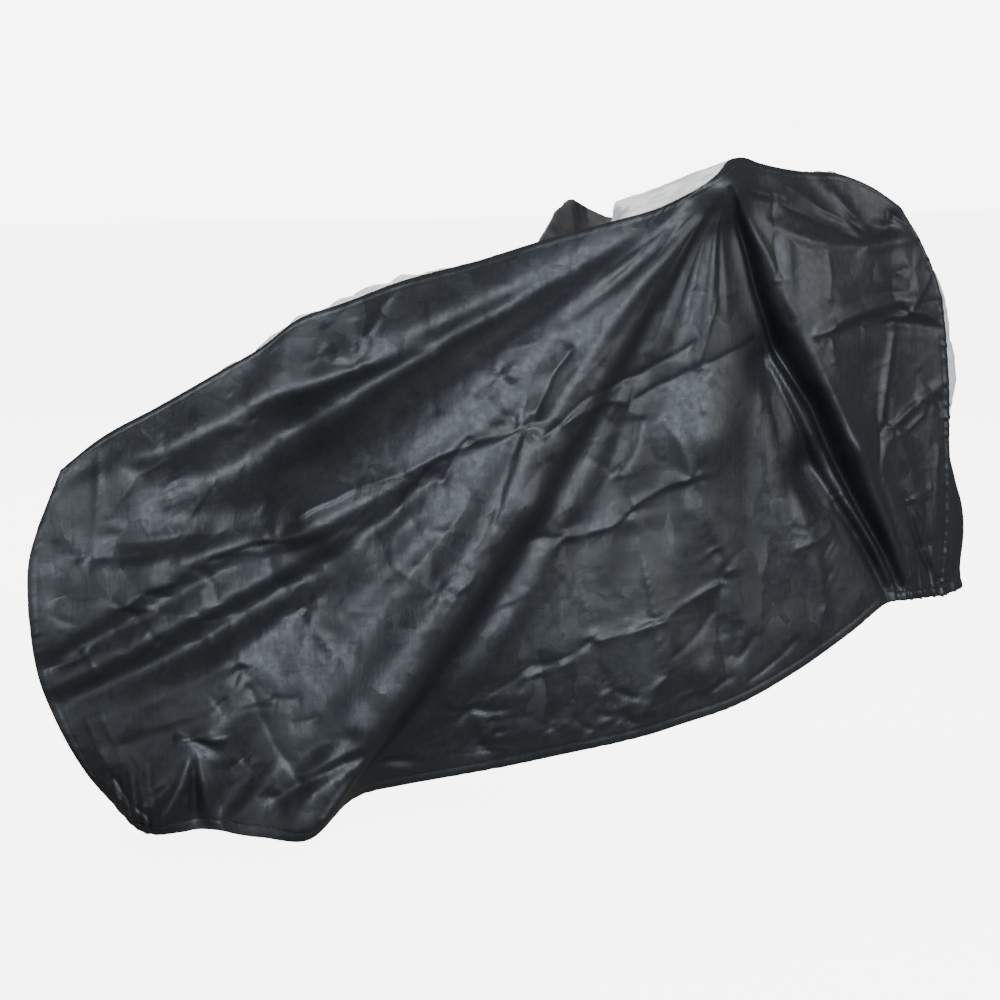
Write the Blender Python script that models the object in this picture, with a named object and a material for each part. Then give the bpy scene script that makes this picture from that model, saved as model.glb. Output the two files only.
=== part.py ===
"""Fitted bicycle cover, draped: two black side panels and a silver centre strip.

Metres, +X to the front of the bicycle, +Y to its left, +Z up.  The tables are
written in floor coordinates (x from mid bicycle, y from the wheel plane,
z from the ground); the finished cover is moved so that its mount, the
underside of the centre strip over the middle of the handlebar, is the origin.
"""
import math
from collections import namedtuple

import bmesh
import bpy
import numpy as np

# ---------------------------------------------------------------- sizes (m)
CLOTH = 0.0018            # thickness of a sewn panel
SEAM_GAP = 0.00040        # each sewn edge stops this short of the seam line
BAR = (0.262, 0.085, 1.112)   # handlebar middle, just under the centre strip
ALONG_PANEL = 42          # grid lines of a panel from rear to front
UP_PANEL = 22             # grid lines of a panel from hem to seam
ACROSS_STRIP = 6          # grid lines of the centre strip from seam to seam
STRIP_END = 2.60          # seam station where the centre strip ends at the front
# the grid lines fan out from the grips along the pull of the cloth: shares of
# the grid, of the top seam and of the hem that lie behind each line
Fan = namedtuple("Fan", "grid top hem")
FAN = [Fan(*r) for r in (
    (0.00, 0.000, 0.000),
    (0.22, 0.370, 0.110),
    (0.42, 0.655, 0.225),
    (0.60, 0.720, 0.520),
    (0.80, 0.780, 0.860),
    (1.00, 1.000, 1.000),
)]
CRANK_SWELL = 0.030       # how far crank and pedals push the right panel out
AXLE_SWELL = 0.020        # how far the rear axle pushes the panels out

Edge = namedtuple("Edge", "x y z")
# right panel, rear seam, from hem to top corner
RIGHT_REAR = [Edge(*r) for r in (
    (-0.750, -0.165, 0.108),
    (-0.802, -0.165, 0.180),
    (-0.840, -0.160, 0.255),
    (-0.868, -0.155, 0.335),
    (-0.880, -0.145, 0.440),
    (-0.876, -0.135, 0.540),
    (-0.850, -0.120, 0.612),
    (-0.820, -0.100, 0.679),
)]
# right panel, top seam, from rear corner over saddle and grip to front corner
RIGHT_TOP = [Edge(*r) for r in (
    (-0.820, -0.100, 0.679),
    (-0.755, -0.090, 0.727),
    (-0.655, -0.080, 0.777),
    (-0.555, -0.070, 0.829),
    (-0.487, -0.060, 0.864),
    (-0.418, -0.050, 0.911),
    (-0.350, -0.045, 0.932),
    (-0.249, -0.050, 0.968),
    (-0.117, -0.075, 1.004),
    (-0.011, -0.100, 1.038),
    (+0.103, -0.120, 1.069),
    (+0.185, -0.130, 1.093),
    (+0.232, -0.132, 1.118),
    (+0.268, -0.115, 1.143),
    (+0.300, -0.105, 1.168),
    (+0.330, -0.095, 1.171),
    (+0.371, -0.080, 1.160),
    (+0.463, -0.030, 1.143),
    (+0.549, +0.000, 1.135),
    (+0.611, +0.010, 1.112),
    (+0.674, +0.020, 1.074),
)]
# right panel, front seam, from top corner down to the gathered hem
RIGHT_FRONT = [Edge(*r) for r in (
    (+0.674, +0.020, 1.074),
    (+0.722, +0.028, 1.008),
    (+0.763, +0.030, 0.925),
    (+0.785, +0.030, 0.812),
    (+0.800, +0.030, 0.635),
    (+0.808, +0.030, 0.458),
    (+0.803, +0.030, 0.340),
)]
# right panel, bottom hem, from rear to front
RIGHT_HEM = [Edge(*r) for r in (
    (-0.750, -0.165, 0.108),
    (-0.722, -0.200, 0.090),
    (-0.624, -0.250, 0.096),
    (-0.529, -0.275, 0.090),
    (-0.452, -0.285, 0.088),
    (-0.414, -0.285, 0.100),
    (-0.374, -0.280, 0.114),
    (-0.281, -0.265, 0.122),
    (-0.109, -0.245, 0.143),
    (-0.003, -0.230, 0.160),
    (+0.104, -0.215, 0.175),
    (+0.215, -0.200, 0.196),
    (+0.322, -0.180, 0.218),
    (+0.443, -0.150, 0.266),
    (+0.557, -0.110, 0.319),
    (+0.640, -0.075, 0.358),
    (+0.700, -0.040, 0.356),
    (+0.803, +0.030, 0.340),
)]
# left panel, bottom hem, from rear to front
LEFT_HEM = [Edge(*r) for r in (
    (-0.750, +0.150, 0.100),
    (-0.700, +0.205, 0.088),
    (-0.600, +0.255, 0.086),
    (-0.480, +0.275, 0.090),
    (-0.360, +0.265, 0.104),
    (-0.230, +0.245, 0.122),
    (-0.080, +0.240, 0.146),
    (+0.080, +0.245, 0.172),
    (+0.220, +0.250, 0.200),
    (+0.350, +0.255, 0.232),
    (+0.470, +0.255, 0.276),
    (+0.590, +0.250, 0.322),
    (+0.700, +0.240, 0.352),
    (+0.795, +0.215, 0.350),
    (+0.845, +0.150, 0.342),
    (+0.848, +0.085, 0.336),
    (+0.803, +0.030, 0.340),
)]

# centre strip: where its left seam lies from the right seam, and its crown.
# station 0 to 1 is the rear seam, 1 to 2 the top seam, 2 to 3 the front seam
Strip = namedtuple("Strip", "station dx dy dz crown")
STRIP = [Strip(*r) for r in (
    (0.00, +0.005, 0.315, -0.008, 0.004),
    (0.30, +0.010, 0.310, +0.000, 0.004),
    (0.70, +0.020, 0.285, -0.010, 0.004),
    (1.00, +0.020, 0.262, -0.055, 0.004),
    (1.10, +0.000, 0.240, -0.075, 0.006),
    (1.20, +0.000, 0.225, -0.080, 0.012),
    (1.30, +0.000, 0.215, -0.085, 0.026),
    (1.40, +0.000, 0.215, -0.085, 0.016),
    (1.50, -0.010, 0.240, -0.085, 0.010),
    (1.58, -0.025, 0.280, -0.090, 0.004),
    (1.65, -0.040, 0.335, -0.100, 0.006),
    (1.70, -0.040, 0.395, -0.088, 0.016),
    (1.73, -0.062, 0.430, -0.082, 0.010),
    (1.76, -0.080, 0.415, -0.100, 0.004),
    (1.82, -0.090, 0.350, -0.090, 0.008),
    (1.90, -0.075, 0.280, -0.080, 0.018),
    (2.00, -0.050, 0.215, -0.070, 0.022),
    (2.20, -0.015, 0.175, -0.050, 0.034),
    (2.40, +0.010, 0.105, -0.020, 0.034),
    (2.60, +0.002, 0.012, +0.000, 0.001),
    (2.62, +0.000, 0.000, +0.000, 0.000),
    (3.00, +0.000, 0.000, +0.000, 0.000),
)]

# folds, in side view: from (x0, z0) to (x1, z1), half width and rise at each
# end; a rise is outward, a negative one is a trough
Fold = namedtuple("Fold", "x0 z0 x1 z1 w0 w1 rise0 rise1")
RIGHT_FOLDS = [Fold(*r) for r in (
    # pulls that run from the grip back across the panel
    (+0.25, 1.08, -0.42, 0.60, 0.030, 0.060, 0.006, 0.022),
    (-0.42, 0.60, -0.84, 0.42, 0.060, 0.060, 0.022, 0.008),
    (+0.17, 1.05, -0.44, 0.72, 0.025, 0.060, -0.004, -0.018),
    (-0.44, 0.72, -0.80, 0.55, 0.060, 0.060, -0.018, -0.006),
    (-0.10, 0.96, -0.70, 0.70, 0.030, 0.050, 0.004, 0.012),
    # ridge on the rear side of the long diagonal trough
    (+0.24, 1.06, -0.05, 0.60, 0.022, 0.045, 0.004, 0.016),
    (-0.05, 0.60, -0.44, 0.10, 0.045, 0.060, 0.016, 0.030),
    # ridges and troughs below the grip
    (+0.28, 1.06, +0.26, 0.70, 0.020, 0.050, 0.010, 0.014),
    (+0.26, 0.70, +0.16, 0.24, 0.050, 0.070, 0.014, 0.010),
    (+0.32, 1.05, +0.40, 0.82, 0.028, 0.042, -0.012, -0.026),
    (+0.40, 0.82, +0.48, 0.62, 0.042, 0.046, -0.026, -0.028),
    (+0.48, 0.62, +0.66, 0.37, 0.046, 0.036, -0.028, -0.010),
    (+0.46, 0.90, +0.56, 0.66, 0.040, 0.040, 0.006, 0.016),
    (+0.56, 0.66, +0.72, 0.38, 0.040, 0.032, 0.016, 0.006),
    # lower rear
    (-0.84, 0.30, -0.40, 0.52, 0.040, 0.040, -0.006, -0.014),
    (-0.70, 0.12, -0.56, 0.34, 0.035, 0.050, 0.022, 0.008),
    (-0.60, 0.10, -0.52, 0.26, 0.030, 0.030, -0.020, -0.006),
)]
LEFT_FOLDS = [Fold(*r) for r in (
    (+0.14, 1.00, -0.46, 0.55, 0.030, 0.060, 0.008, 0.022),
    (-0.46, 0.55, -0.84, 0.36, 0.060, 0.060, 0.022, 0.008),
    (+0.06, 0.98, -0.50, 0.70, 0.028, 0.055, -0.006, -0.016),
    (+0.14, 0.98, -0.14, 0.52, 0.026, 0.050, -0.008, -0.020),
    (-0.14, 0.52, -0.34, 0.14, 0.050, 0.050, -0.020, -0.028),
    (+0.18, 0.98, +0.14, 0.60, 0.026, 0.050, 0.010, 0.018),
    (+0.14, 0.60, +0.08, 0.20, 0.050, 0.060, 0.018, 0.012),
    (+0.24, 0.98, +0.34, 0.66, 0.026, 0.036, -0.014, -0.026),
    (+0.34, 0.66, +0.52, 0.34, 0.036, 0.034, -0.026, -0.014),
    (+0.44, 0.90, +0.62, 0.42, 0.036, 0.040, 0.012, 0.016),
    (-0.66, 0.12, -0.58, 0.36, 0.035, 0.050, 0.022, 0.008),
)]
# the long diagonal step from the right grip to the rear hem: the cloth in
# front of it falls back by this much and comes out again over `recover`
Step = namedtuple("Step", "x z width drop recover")
RIGHT_STEP = [Step(*r) for r in (
    (+0.262, 1.080, 0.012, 0.000, 0.10),
    (+0.170, 0.935, 0.022, 0.018, 0.16),
    (+0.068, 0.755, 0.030, 0.032, 0.24),
    (-0.096, 0.512, 0.034, 0.046, 0.32),
    (-0.228, 0.318, 0.034, 0.062, 0.38),
    (-0.350, 0.180, 0.028, 0.080, 0.42),
    (-0.428, 0.075, 0.022, 0.100, 0.46),
)]
# round bumps: centre in side view, radius, and the push it gives
Bump = namedtuple("Bump", "x z radius dx dy dz")
RIGHT_BUMPS = [Bump(*r) for r in (
    (+0.288, 1.128, 0.050, 0.000, -0.046, 0.000),     # right grip
    (-0.020, 0.330, 0.200, 0.000, -CRANK_SWELL, 0.0),
    (-0.540, 0.330, 0.160, 0.000, -AXLE_SWELL, 0.0),
    (+0.560, 0.960, 0.120, 0.010, -0.020, 0.000),
)]
LEFT_BUMPS = [Bump(*r) for r in (
    (+0.122, 0.970, 0.092, -0.010, +0.088, 0.128),    # left grip
    (-0.020, 0.330, 0.200, 0.000, +CRANK_SWELL, 0.0),
    (-0.540, 0.330, 0.160, 0.000, +AXLE_SWELL, 0.0),
    (+0.720, 0.380, 0.140, 0.012, +0.016, 0.000),
)]


# ------------------------------------------------------------- small helpers
def smooth(t):
    t = np.clip(t, 0.0, 1.0)
    return t * t * (3.0 - 2.0 * t)


def spline(keys, values, at):
    """Shape-keeping cubic through rows of values at increasing keys."""
    k = np.asarray(keys, float)
    v = np.asarray(values, float)
    if v.ndim == 1:
        v = v[:, None]
    h = np.diff(k)[:, None]
    s = np.diff(v, axis=0) / h
    m = np.zeros_like(v)
    m[0], m[-1] = s[0], s[-1]
    m[1:-1] = (s[:-1] * h[1:] + s[1:] * h[:-1]) / (h[1:] + h[:-1])
    at = np.clip(np.asarray(at, float), k[0], k[-1])
    i = np.clip(np.searchsorted(k, at, side="right") - 1, 0, len(k) - 2)
    t = ((at - k[i]) / (k[i + 1] - k[i]))[:, None]
    hh = h[i]
    return ((2 * t**3 - 3 * t**2 + 1) * v[i] + (t**3 - 2 * t**2 + t) * hh * m[i]
            + (-2 * t**3 + 3 * t**2) * v[i + 1] + (t**3 - t**2) * hh * m[i + 1])


def edge_points(rows, count, share=None):
    """Points along the smooth curve through an edge table, at equal steps or
    at the shares of its length that the fan of grid lines gives."""
    p = np.array([tuple(r) for r in rows])
    key = np.concatenate([[0.0], np.cumsum(np.linalg.norm(np.diff(p, axis=0), axis=1))])
    fine = spline(key, p, np.linspace(0.0, key[-1], 600))
    run = np.concatenate([[0.0], np.cumsum(np.linalg.norm(np.diff(fine, axis=0), axis=1))])
    want = np.linspace(0.0, 1.0, count)
    if share:
        want = spline([r.grid for r in FAN], [getattr(r, share) for r in FAN], want)[:, 0]
    want = want * run[-1]
    return np.stack([np.interp(want, run, fine[:, i]) for i in range(3)], axis=1)


def coons(bottom, top, rear, front):
    """Sheet between four edges: index 0 runs rear to front, 1 hem to seam."""
    nu, nv = len(bottom), len(rear)
    u = np.linspace(0.0, 1.0, nu)[:, None, None]
    v = np.linspace(0.0, 1.0, nv)[None, :, None]
    ruled_v = (1 - v) * bottom[:, None, :] + v * top[:, None, :]
    ruled_u = (1 - u) * rear[None, :, :] + u * front[None, :, :]
    corners = ((1 - u) * (1 - v) * bottom[0] + u * (1 - v) * bottom[-1]
               + (1 - u) * v * top[0] + u * v * top[-1])
    return ruled_v + ruled_u - corners


def fold_rise(x, z, rows):
    """Sum of soft ridges and troughs, each along a line in side view."""
    out = np.zeros_like(x)
    for f in rows:
        dx, dz = f.x1 - f.x0, f.z1 - f.z0
        length = math.hypot(dx, dz)
        t = ((x - f.x0) * dx + (z - f.z0) * dz) / length**2
        tc = np.clip(t, 0.0, 1.0)
        away = np.hypot(x - f.x0 - tc * dx, z - f.z0 - tc * dz)
        width = f.w0 + (f.w1 - f.w0) * tc
        rise = f.rise0 + (f.rise1 - f.rise0) * tc
        out += rise * np.exp(-(away / width) ** 2)
    return out


def step_drop(x, z, rows):
    """How far the cloth falls back in front of a long diagonal step."""
    zs = np.array([r.z for r in rows])[::-1]
    cols = np.array([(r.x, r.width, r.drop, r.recover) for r in rows])[::-1]
    zc = np.clip(z, zs[0], zs[-1])
    sx, width, drop, recover = (np.interp(zc, zs, cols[:, i]) for i in range(4))
    side = (x - sx) * 0.80
    step = 0.5 * (1.0 + np.tanh(side / width))
    return drop * step * np.exp(-(np.maximum(side, 0.0) / recover) ** 2)


def push_bumps(p, rows):
    x, z = p[..., 0].copy(), p[..., 2].copy()
    for b in rows:
        near = np.exp(-((x - b.x) ** 2 + (z - b.z) ** 2) / b.radius**2)
        p[..., 0] += b.dx * near
        p[..., 1] += b.dy * near
        p[..., 2] += b.dz * near
    return p


def keep_seam(count_v, margin=0.16):
    """Weight of folds: full on the panel, easing to little at the seam."""
    v = np.linspace(0.0, 1.0, count_v)
    return 0.30 + 0.70 * smooth((1.0 - v) / margin)


# ------------------------------------------------------------------- panels
def right_panel(nu, nv):
    p = coons(edge_points(RIGHT_HEM, nu, "hem"), edge_points(RIGHT_TOP, nu, "top"),
              edge_points(RIGHT_REAR, nv), edge_points(RIGHT_FRONT, nv)[::-1])
    p = push_bumps(p, RIGHT_BUMPS)
    x, z = p[..., 0].copy(), p[..., 2].copy()
    weight = keep_seam(nv)[None, :]
    p[..., 1] -= weight * fold_rise(x, z, RIGHT_FOLDS)
    p[..., 1] += weight * step_drop(x, z, RIGHT_STEP)
    return p


def seam_of(p):
    """Rear, top and front edges of a panel grid as one line of points."""
    return np.concatenate([p[0, :-1], p[:-1, -1], p[-1, ::-1]])


def seam_stations(nu, nv):
    grid = np.linspace(0.0, 1.0, nu)
    top = spline([r.grid for r in FAN], [r.top for r in FAN], grid)[:, 0]
    return np.concatenate([np.linspace(0, 1, nv)[:-1], 1 + top[:-1],
                           2 + np.linspace(0, 1, nv)])


def strip_rows(stations):
    key = [r.station for r in STRIP]
    val = [(r.dx, r.dy, r.dz, r.crown) for r in STRIP]
    got = spline(key, val, stations)
    got[np.asarray(stations) >= STRIP[-2].station] = 0.0
    return got


def left_panel(right_seam, nu, nv):
    rows = strip_rows(seam_stations(nu, nv))
    line = right_seam + rows[:, :3]
    rear, top, front = line[:nv], line[nv - 1:nv - 1 + nu], line[nv - 2 + nu:][::-1]
    hem_rows = list(LEFT_HEM)
    hem_rows[0] = Edge(*rear[0])
    hem_rows[-1] = Edge(*front[0])
    p = coons(edge_points(hem_rows, nu, "hem"), top, rear, front)
    edges = seam_of(p).copy()
    x, z = p[..., 0].copy(), p[..., 2].copy()
    u = np.linspace(0.0, 1.0, nu)
    inside = smooth((1.0 - np.linspace(0, 1, nv)) / 0.075)[None, :] * \
        smooth(u / 0.06)[:, None] * smooth((1.0 - u) / 0.08)[:, None]
    q = push_bumps(p.copy(), LEFT_BUMPS)
    q[..., 1] += fold_rise(x, z, LEFT_FOLDS)
    # the front of the left panel rounds the tyre before it reaches the seam
    round_front = smooth((u - 0.72) / 0.22)[:, None] * smooth((1.0 - u) / 0.10)[:, None] * \
        smooth((0.70 - np.linspace(0, 1, nv)) / 0.35)[None, :]
    low = 0.35 + 0.65 * smooth(np.linspace(0, 1, nv) / 0.22)
    q[..., 0] += 0.064 * round_front * low[None, :]
    p = p + (q - p) * inside[..., None]
    assert np.allclose(seam_of(p), edges, atol=1e-9)
    return p


def centre_strip(right_seam, left_seam, stations, lines):
    """Crowned rows between the two seams, with a few soft crumples."""
    n = len(stations)
    crown = strip_rows(stations)[:, 3]
    t = np.linspace(0.0, 1.0, lines)
    ahead = np.gradient(0.5 * (right_seam + left_seam), axis=0)
    across = left_seam - right_seam
    up = np.cross(ahead, across)
    up = up / np.maximum(np.linalg.norm(up, axis=1), 1e-9)[:, None]
    up = np.where((up @ np.array([0.0, 0.0, 1.0]))[:, None] < -0.2, -up, up)
    out = np.zeros((n, lines, 3))
    for j, w in enumerate(t):
        arch = 4.0 * w * (1.0 - w)
        crumple = 0.006 * math.sin(math.pi * w) * np.sin(stations * 23.0 + 2.6 * w)
        crumple = crumple * smooth(across[:, 1] / 0.12)
        out[:, j] = right_seam + w * across + (crown * arch + crumple)[:, None] * up
    return out


# ------------------------------------------------------------ closed sheets
def grid_normals(p):
    a = np.gradient(p, axis=0)
    b = np.gradient(p, axis=1)
    n = np.cross(a, b)
    return n / np.maximum(np.linalg.norm(n, axis=2), 1e-12)[..., None]


def unit(v):
    return v / np.maximum(np.linalg.norm(v, axis=-1), 1e-12)[..., None]


def sheet_object(name, outer, inner, flip, colour, roughness, metallic=0.0):
    """Close two matching grids of points into one thin solid."""
    nu, nv = outer.shape[:2]
    bm = bmesh.new()
    top = [[bm.verts.new(outer[i, j]) for j in range(nv)] for i in range(nu)]
    low = [[bm.verts.new(inner[i, j]) for j in range(nv)] for i in range(nu)]

    def face(*vs):
        bm.faces.new(vs[::-1] if flip else vs)

    def quad(a, b, c, d, turn):
        # split so that the crease follows the shorter diagonal
        if (a.co - c.co).length <= (b.co - d.co).length:
            tris = ((a, b, c), (a, c, d))
        else:
            tris = ((a, b, d), (b, c, d))
        for t in tris:
            face(*(t[::-1] if turn else t))

    for i in range(nu - 1):
        for j in range(nv - 1):
            quad(top[i][j], top[i + 1][j], top[i + 1][j + 1], top[i][j + 1], False)
            quad(low[i][j], low[i + 1][j], low[i + 1][j + 1], low[i][j + 1], True)
    ring = ([(i, 0) for i in range(nu)] + [(nu - 1, j) for j in range(1, nv)]
            + [(i, nv - 1) for i in range(nu - 2, -1, -1)]
            + [(0, j) for j in range(nv - 2, 0, -1)])
    for k, (i, j) in enumerate(ring):
        m, n = ring[(k + 1) % len(ring)]
        face(top[i][j], low[i][j], low[m][n])
        face(top[i][j], low[m][n], top[m][n])
    bm.normal_update()
    if bm.calc_volume(signed=True) < 0.0:
        bmesh.ops.reverse_faces(bm, faces=bm.faces[:])
    mesh = bpy.data.meshes.new(name)
    bm.to_mesh(mesh)
    bm.free()
    material = bpy.data.materials.new(name + "_cloth")
    material.use_nodes = True
    shader = material.node_tree.nodes["Principled BSDF"]
    shader.inputs["Base Color"].default_value = (*colour, 1.0)
    shader.inputs["Roughness"].default_value = roughness
    shader.inputs["Metallic"].default_value = metallic
    material.diffuse_color = (*colour, 1.0)
    mesh.materials.append(material)
    obj = bpy.data.objects.new(name, mesh)
    bpy.context.scene.collection.objects.link(obj)
    return obj


def put_seam(p, line):
    nu, nv = p.shape[:2]
    p[0, :] = line[:nv]
    p[:, -1] = line[nv - 1:nv - 1 + nu]
    p[-1, ::-1] = line[nv - 2 + nu:]
    return p


def inward_step(p, line):
    """Unit steps from each seam point into the sheet, square to the seam."""
    nu, nv = p.shape[:2]
    inner = np.concatenate([p[1, :-1], p[:-1, -2], p[-2, ::-1]])
    inner[nv - 1] = p[1, -2]
    inner[nv - 2 + nu] = p[-2, -2]
    along = unit(np.gradient(line, axis=0))
    step = inner - line
    step = step - (step * along).sum(axis=1)[:, None] * along
    return unit(step)


def build():
    for old in list(bpy.data.objects):
        bpy.data.objects.remove(old, do_unlink=True)
    nu, nv = ALONG_PANEL, UP_PANEL
    right = right_panel(nu, nv)
    right_seam = seam_of(right)
    left = left_panel(right_seam, nu, nv)
    left_seam = seam_of(left)
    stations = seam_stations(nu, nv)
    last = int(np.searchsorted(stations, STRIP_END, side="right"))
    strip = centre_strip(right_seam[:last], left_seam[:last], stations[:last], ACROSS_STRIP)

    right_n = -grid_normals(right)          # outward: away from the bicycle
    if right_n[nu // 2, nv // 2, 1] > 0:
        right_n = -right_n
    left_n = grid_normals(left)
    if left_n[nu // 2, nv // 2, 1] < 0:
        left_n = -left_n
    strip_n = grid_normals(strip)
    mid = int(np.searchsorted(stations, 1.5))
    if strip_n[mid, ACROSS_STRIP // 2, 2] < 0:
        strip_n = -strip_n

    # both sides of a seam share one normal, so their ends stay parallel
    rn, ln = seam_of(right_n).copy(), seam_of(left_n).copy()
    shared_r, shared_l = rn.copy(), ln.copy()
    shared_r[:last] = unit(rn[:last] + strip_n[:, 0])
    shared_l[:last] = unit(ln[:last] + strip_n[:, -1])
    shared_r[last:] = unit(rn[last:] + ln[last:])
    shared_l[last:] = shared_r[last:]
    right_n = put_seam(right_n, shared_r)
    left_n = put_seam(left_n, shared_l)
    strip_n[:, 0] = shared_r[:last]
    strip_n[:, -1] = shared_l[:last]

    right_in = inward_step(right, right_seam)
    left_in = inward_step(left, left_seam)
    strip_in_r = unit(strip[:, 1] - strip[:, 0])
    strip_in_l = unit(strip[:, -2] - strip[:, -1])
    right = put_seam(right, right_seam + SEAM_GAP * right_in)
    left = put_seam(left, left_seam + SEAM_GAP * left_in)
    strip[:, 0] += SEAM_GAP * strip_in_r
    strip[:, -1] += SEAM_GAP * strip_in_l

    shift = np.array(BAR)
    black = (0.018, 0.021, 0.025)
    silver = (0.62, 0.64, 0.66)
    sheet_object("side_panel_right", right - shift, right - CLOTH * right_n - shift,
                 False, black, 0.42)
    sheet_object("side_panel_left", left - shift, left - CLOTH * left_n - shift,
                 True, black, 0.42)
    sheet_object("centre_strip", strip - shift, strip - CLOTH * strip_n - shift,
                 False, silver, 0.38, 0.15)


build()
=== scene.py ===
"""Looks of the fitted bicycle cover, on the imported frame.

The panels repeat the solids' own edge, fold and bump tables at a finer grid.
The creases, crumples, gathers, hem channel, seams and stitches are added here
as small outward or inward moves of the cloth, row by row, in floor metres
(x from mid bicycle, z from the ground), as the tables below give them.
"""
import math
from collections import namedtuple

import bpy
import numpy as np
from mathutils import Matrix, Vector


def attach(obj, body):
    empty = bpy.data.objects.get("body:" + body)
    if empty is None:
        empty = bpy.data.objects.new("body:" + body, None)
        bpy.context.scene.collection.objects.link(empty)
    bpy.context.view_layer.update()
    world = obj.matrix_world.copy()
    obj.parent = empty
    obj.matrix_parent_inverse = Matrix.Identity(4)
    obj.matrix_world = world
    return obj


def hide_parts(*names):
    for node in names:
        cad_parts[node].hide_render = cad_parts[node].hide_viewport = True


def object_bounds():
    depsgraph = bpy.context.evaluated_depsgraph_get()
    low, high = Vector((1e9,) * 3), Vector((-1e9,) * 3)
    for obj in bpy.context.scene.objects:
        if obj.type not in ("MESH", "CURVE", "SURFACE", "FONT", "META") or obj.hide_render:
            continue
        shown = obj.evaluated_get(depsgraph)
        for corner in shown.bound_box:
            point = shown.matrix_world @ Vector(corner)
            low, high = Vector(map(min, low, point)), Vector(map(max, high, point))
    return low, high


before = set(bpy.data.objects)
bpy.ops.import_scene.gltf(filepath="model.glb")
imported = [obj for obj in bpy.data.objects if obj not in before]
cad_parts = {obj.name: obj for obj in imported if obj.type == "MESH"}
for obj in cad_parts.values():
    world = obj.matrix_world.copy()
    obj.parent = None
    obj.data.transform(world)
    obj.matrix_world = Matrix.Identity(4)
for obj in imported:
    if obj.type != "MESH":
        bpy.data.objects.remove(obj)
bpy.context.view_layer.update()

# ---------------------------------------------------------------- sizes (m)
CLOTH = 0.0018            # thickness of a sewn panel
SEAM_GAP = 0.00040        # each sewn edge stops this short of the seam line
BAR = (0.262, 0.085, 1.112)   # handlebar middle, just under the centre strip
ALONG_PANEL = 42          # grid lines of a panel from rear to front
UP_PANEL = 22             # grid lines of a panel from hem to seam
ACROSS_STRIP = 6          # grid lines of the centre strip from seam to seam
STRIP_END = 2.60          # seam station where the centre strip ends at the front
# the grid lines fan out from the grips along the pull of the cloth: shares of
# the grid, of the top seam and of the hem that lie behind each line
Fan = namedtuple("Fan", "grid top hem")
FAN = [Fan(*r) for r in (
    (0.00, 0.000, 0.000),
    (0.22, 0.370, 0.110),
    (0.42, 0.655, 0.225),
    (0.60, 0.720, 0.520),
    (0.80, 0.780, 0.860),
    (1.00, 1.000, 1.000),
)]
CRANK_SWELL = 0.030       # how far crank and pedals push the right panel out
AXLE_SWELL = 0.020        # how far the rear axle pushes the panels out

Edge = namedtuple("Edge", "x y z")
# right panel, rear seam, from hem to top corner
RIGHT_REAR = [Edge(*r) for r in (
    (-0.750, -0.165, 0.108),
    (-0.802, -0.165, 0.180),
    (-0.840, -0.160, 0.255),
    (-0.868, -0.155, 0.335),
    (-0.880, -0.145, 0.440),
    (-0.876, -0.135, 0.540),
    (-0.850, -0.120, 0.612),
    (-0.820, -0.100, 0.679),
)]
# right panel, top seam, from rear corner over saddle and grip to front corner
RIGHT_TOP = [Edge(*r) for r in (
    (-0.820, -0.100, 0.679),
    (-0.755, -0.090, 0.727),
    (-0.655, -0.080, 0.777),
    (-0.555, -0.070, 0.829),
    (-0.487, -0.060, 0.864),
    (-0.418, -0.050, 0.911),
    (-0.350, -0.045, 0.932),
    (-0.249, -0.050, 0.968),
    (-0.117, -0.075, 1.004),
    (-0.011, -0.100, 1.038),
    (+0.103, -0.120, 1.069),
    (+0.185, -0.130, 1.093),
    (+0.232, -0.132, 1.118),
    (+0.268, -0.115, 1.143),
    (+0.300, -0.105, 1.168),
    (+0.330, -0.095, 1.171),
    (+0.371, -0.080, 1.160),
    (+0.463, -0.030, 1.143),
    (+0.549, +0.000, 1.135),
    (+0.611, +0.010, 1.112),
    (+0.674, +0.020, 1.074),
)]
# right panel, front seam, from top corner down to the gathered hem
RIGHT_FRONT = [Edge(*r) for r in (
    (+0.674, +0.020, 1.074),
    (+0.722, +0.028, 1.008),
    (+0.763, +0.030, 0.925),
    (+0.785, +0.030, 0.812),
    (+0.800, +0.030, 0.635),
    (+0.808, +0.030, 0.458),
    (+0.803, +0.030, 0.340),
)]
# right panel, bottom hem, from rear to front
RIGHT_HEM = [Edge(*r) for r in (
    (-0.750, -0.165, 0.108),
    (-0.722, -0.200, 0.090),
    (-0.624, -0.250, 0.096),
    (-0.529, -0.275, 0.090),
    (-0.452, -0.285, 0.088),
    (-0.414, -0.285, 0.100),
    (-0.374, -0.280, 0.114),
    (-0.281, -0.265, 0.122),
    (-0.109, -0.245, 0.143),
    (-0.003, -0.230, 0.160),
    (+0.104, -0.215, 0.175),
    (+0.215, -0.200, 0.196),
    (+0.322, -0.180, 0.218),
    (+0.443, -0.150, 0.266),
    (+0.557, -0.110, 0.319),
    (+0.640, -0.075, 0.358),
    (+0.700, -0.040, 0.356),
    (+0.803, +0.030, 0.340),
)]
# left panel, bottom hem, from rear to front
LEFT_HEM = [Edge(*r) for r in (
    (-0.750, +0.150, 0.100),
    (-0.700, +0.205, 0.088),
    (-0.600, +0.255, 0.086),
    (-0.480, +0.275, 0.090),
    (-0.360, +0.265, 0.104),
    (-0.230, +0.245, 0.122),
    (-0.080, +0.240, 0.146),
    (+0.080, +0.245, 0.172),
    (+0.220, +0.250, 0.200),
    (+0.350, +0.255, 0.232),
    (+0.470, +0.255, 0.276),
    (+0.590, +0.250, 0.322),
    (+0.700, +0.240, 0.352),
    (+0.795, +0.215, 0.350),
    (+0.845, +0.150, 0.342),
    (+0.848, +0.085, 0.336),
    (+0.803, +0.030, 0.340),
)]

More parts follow.
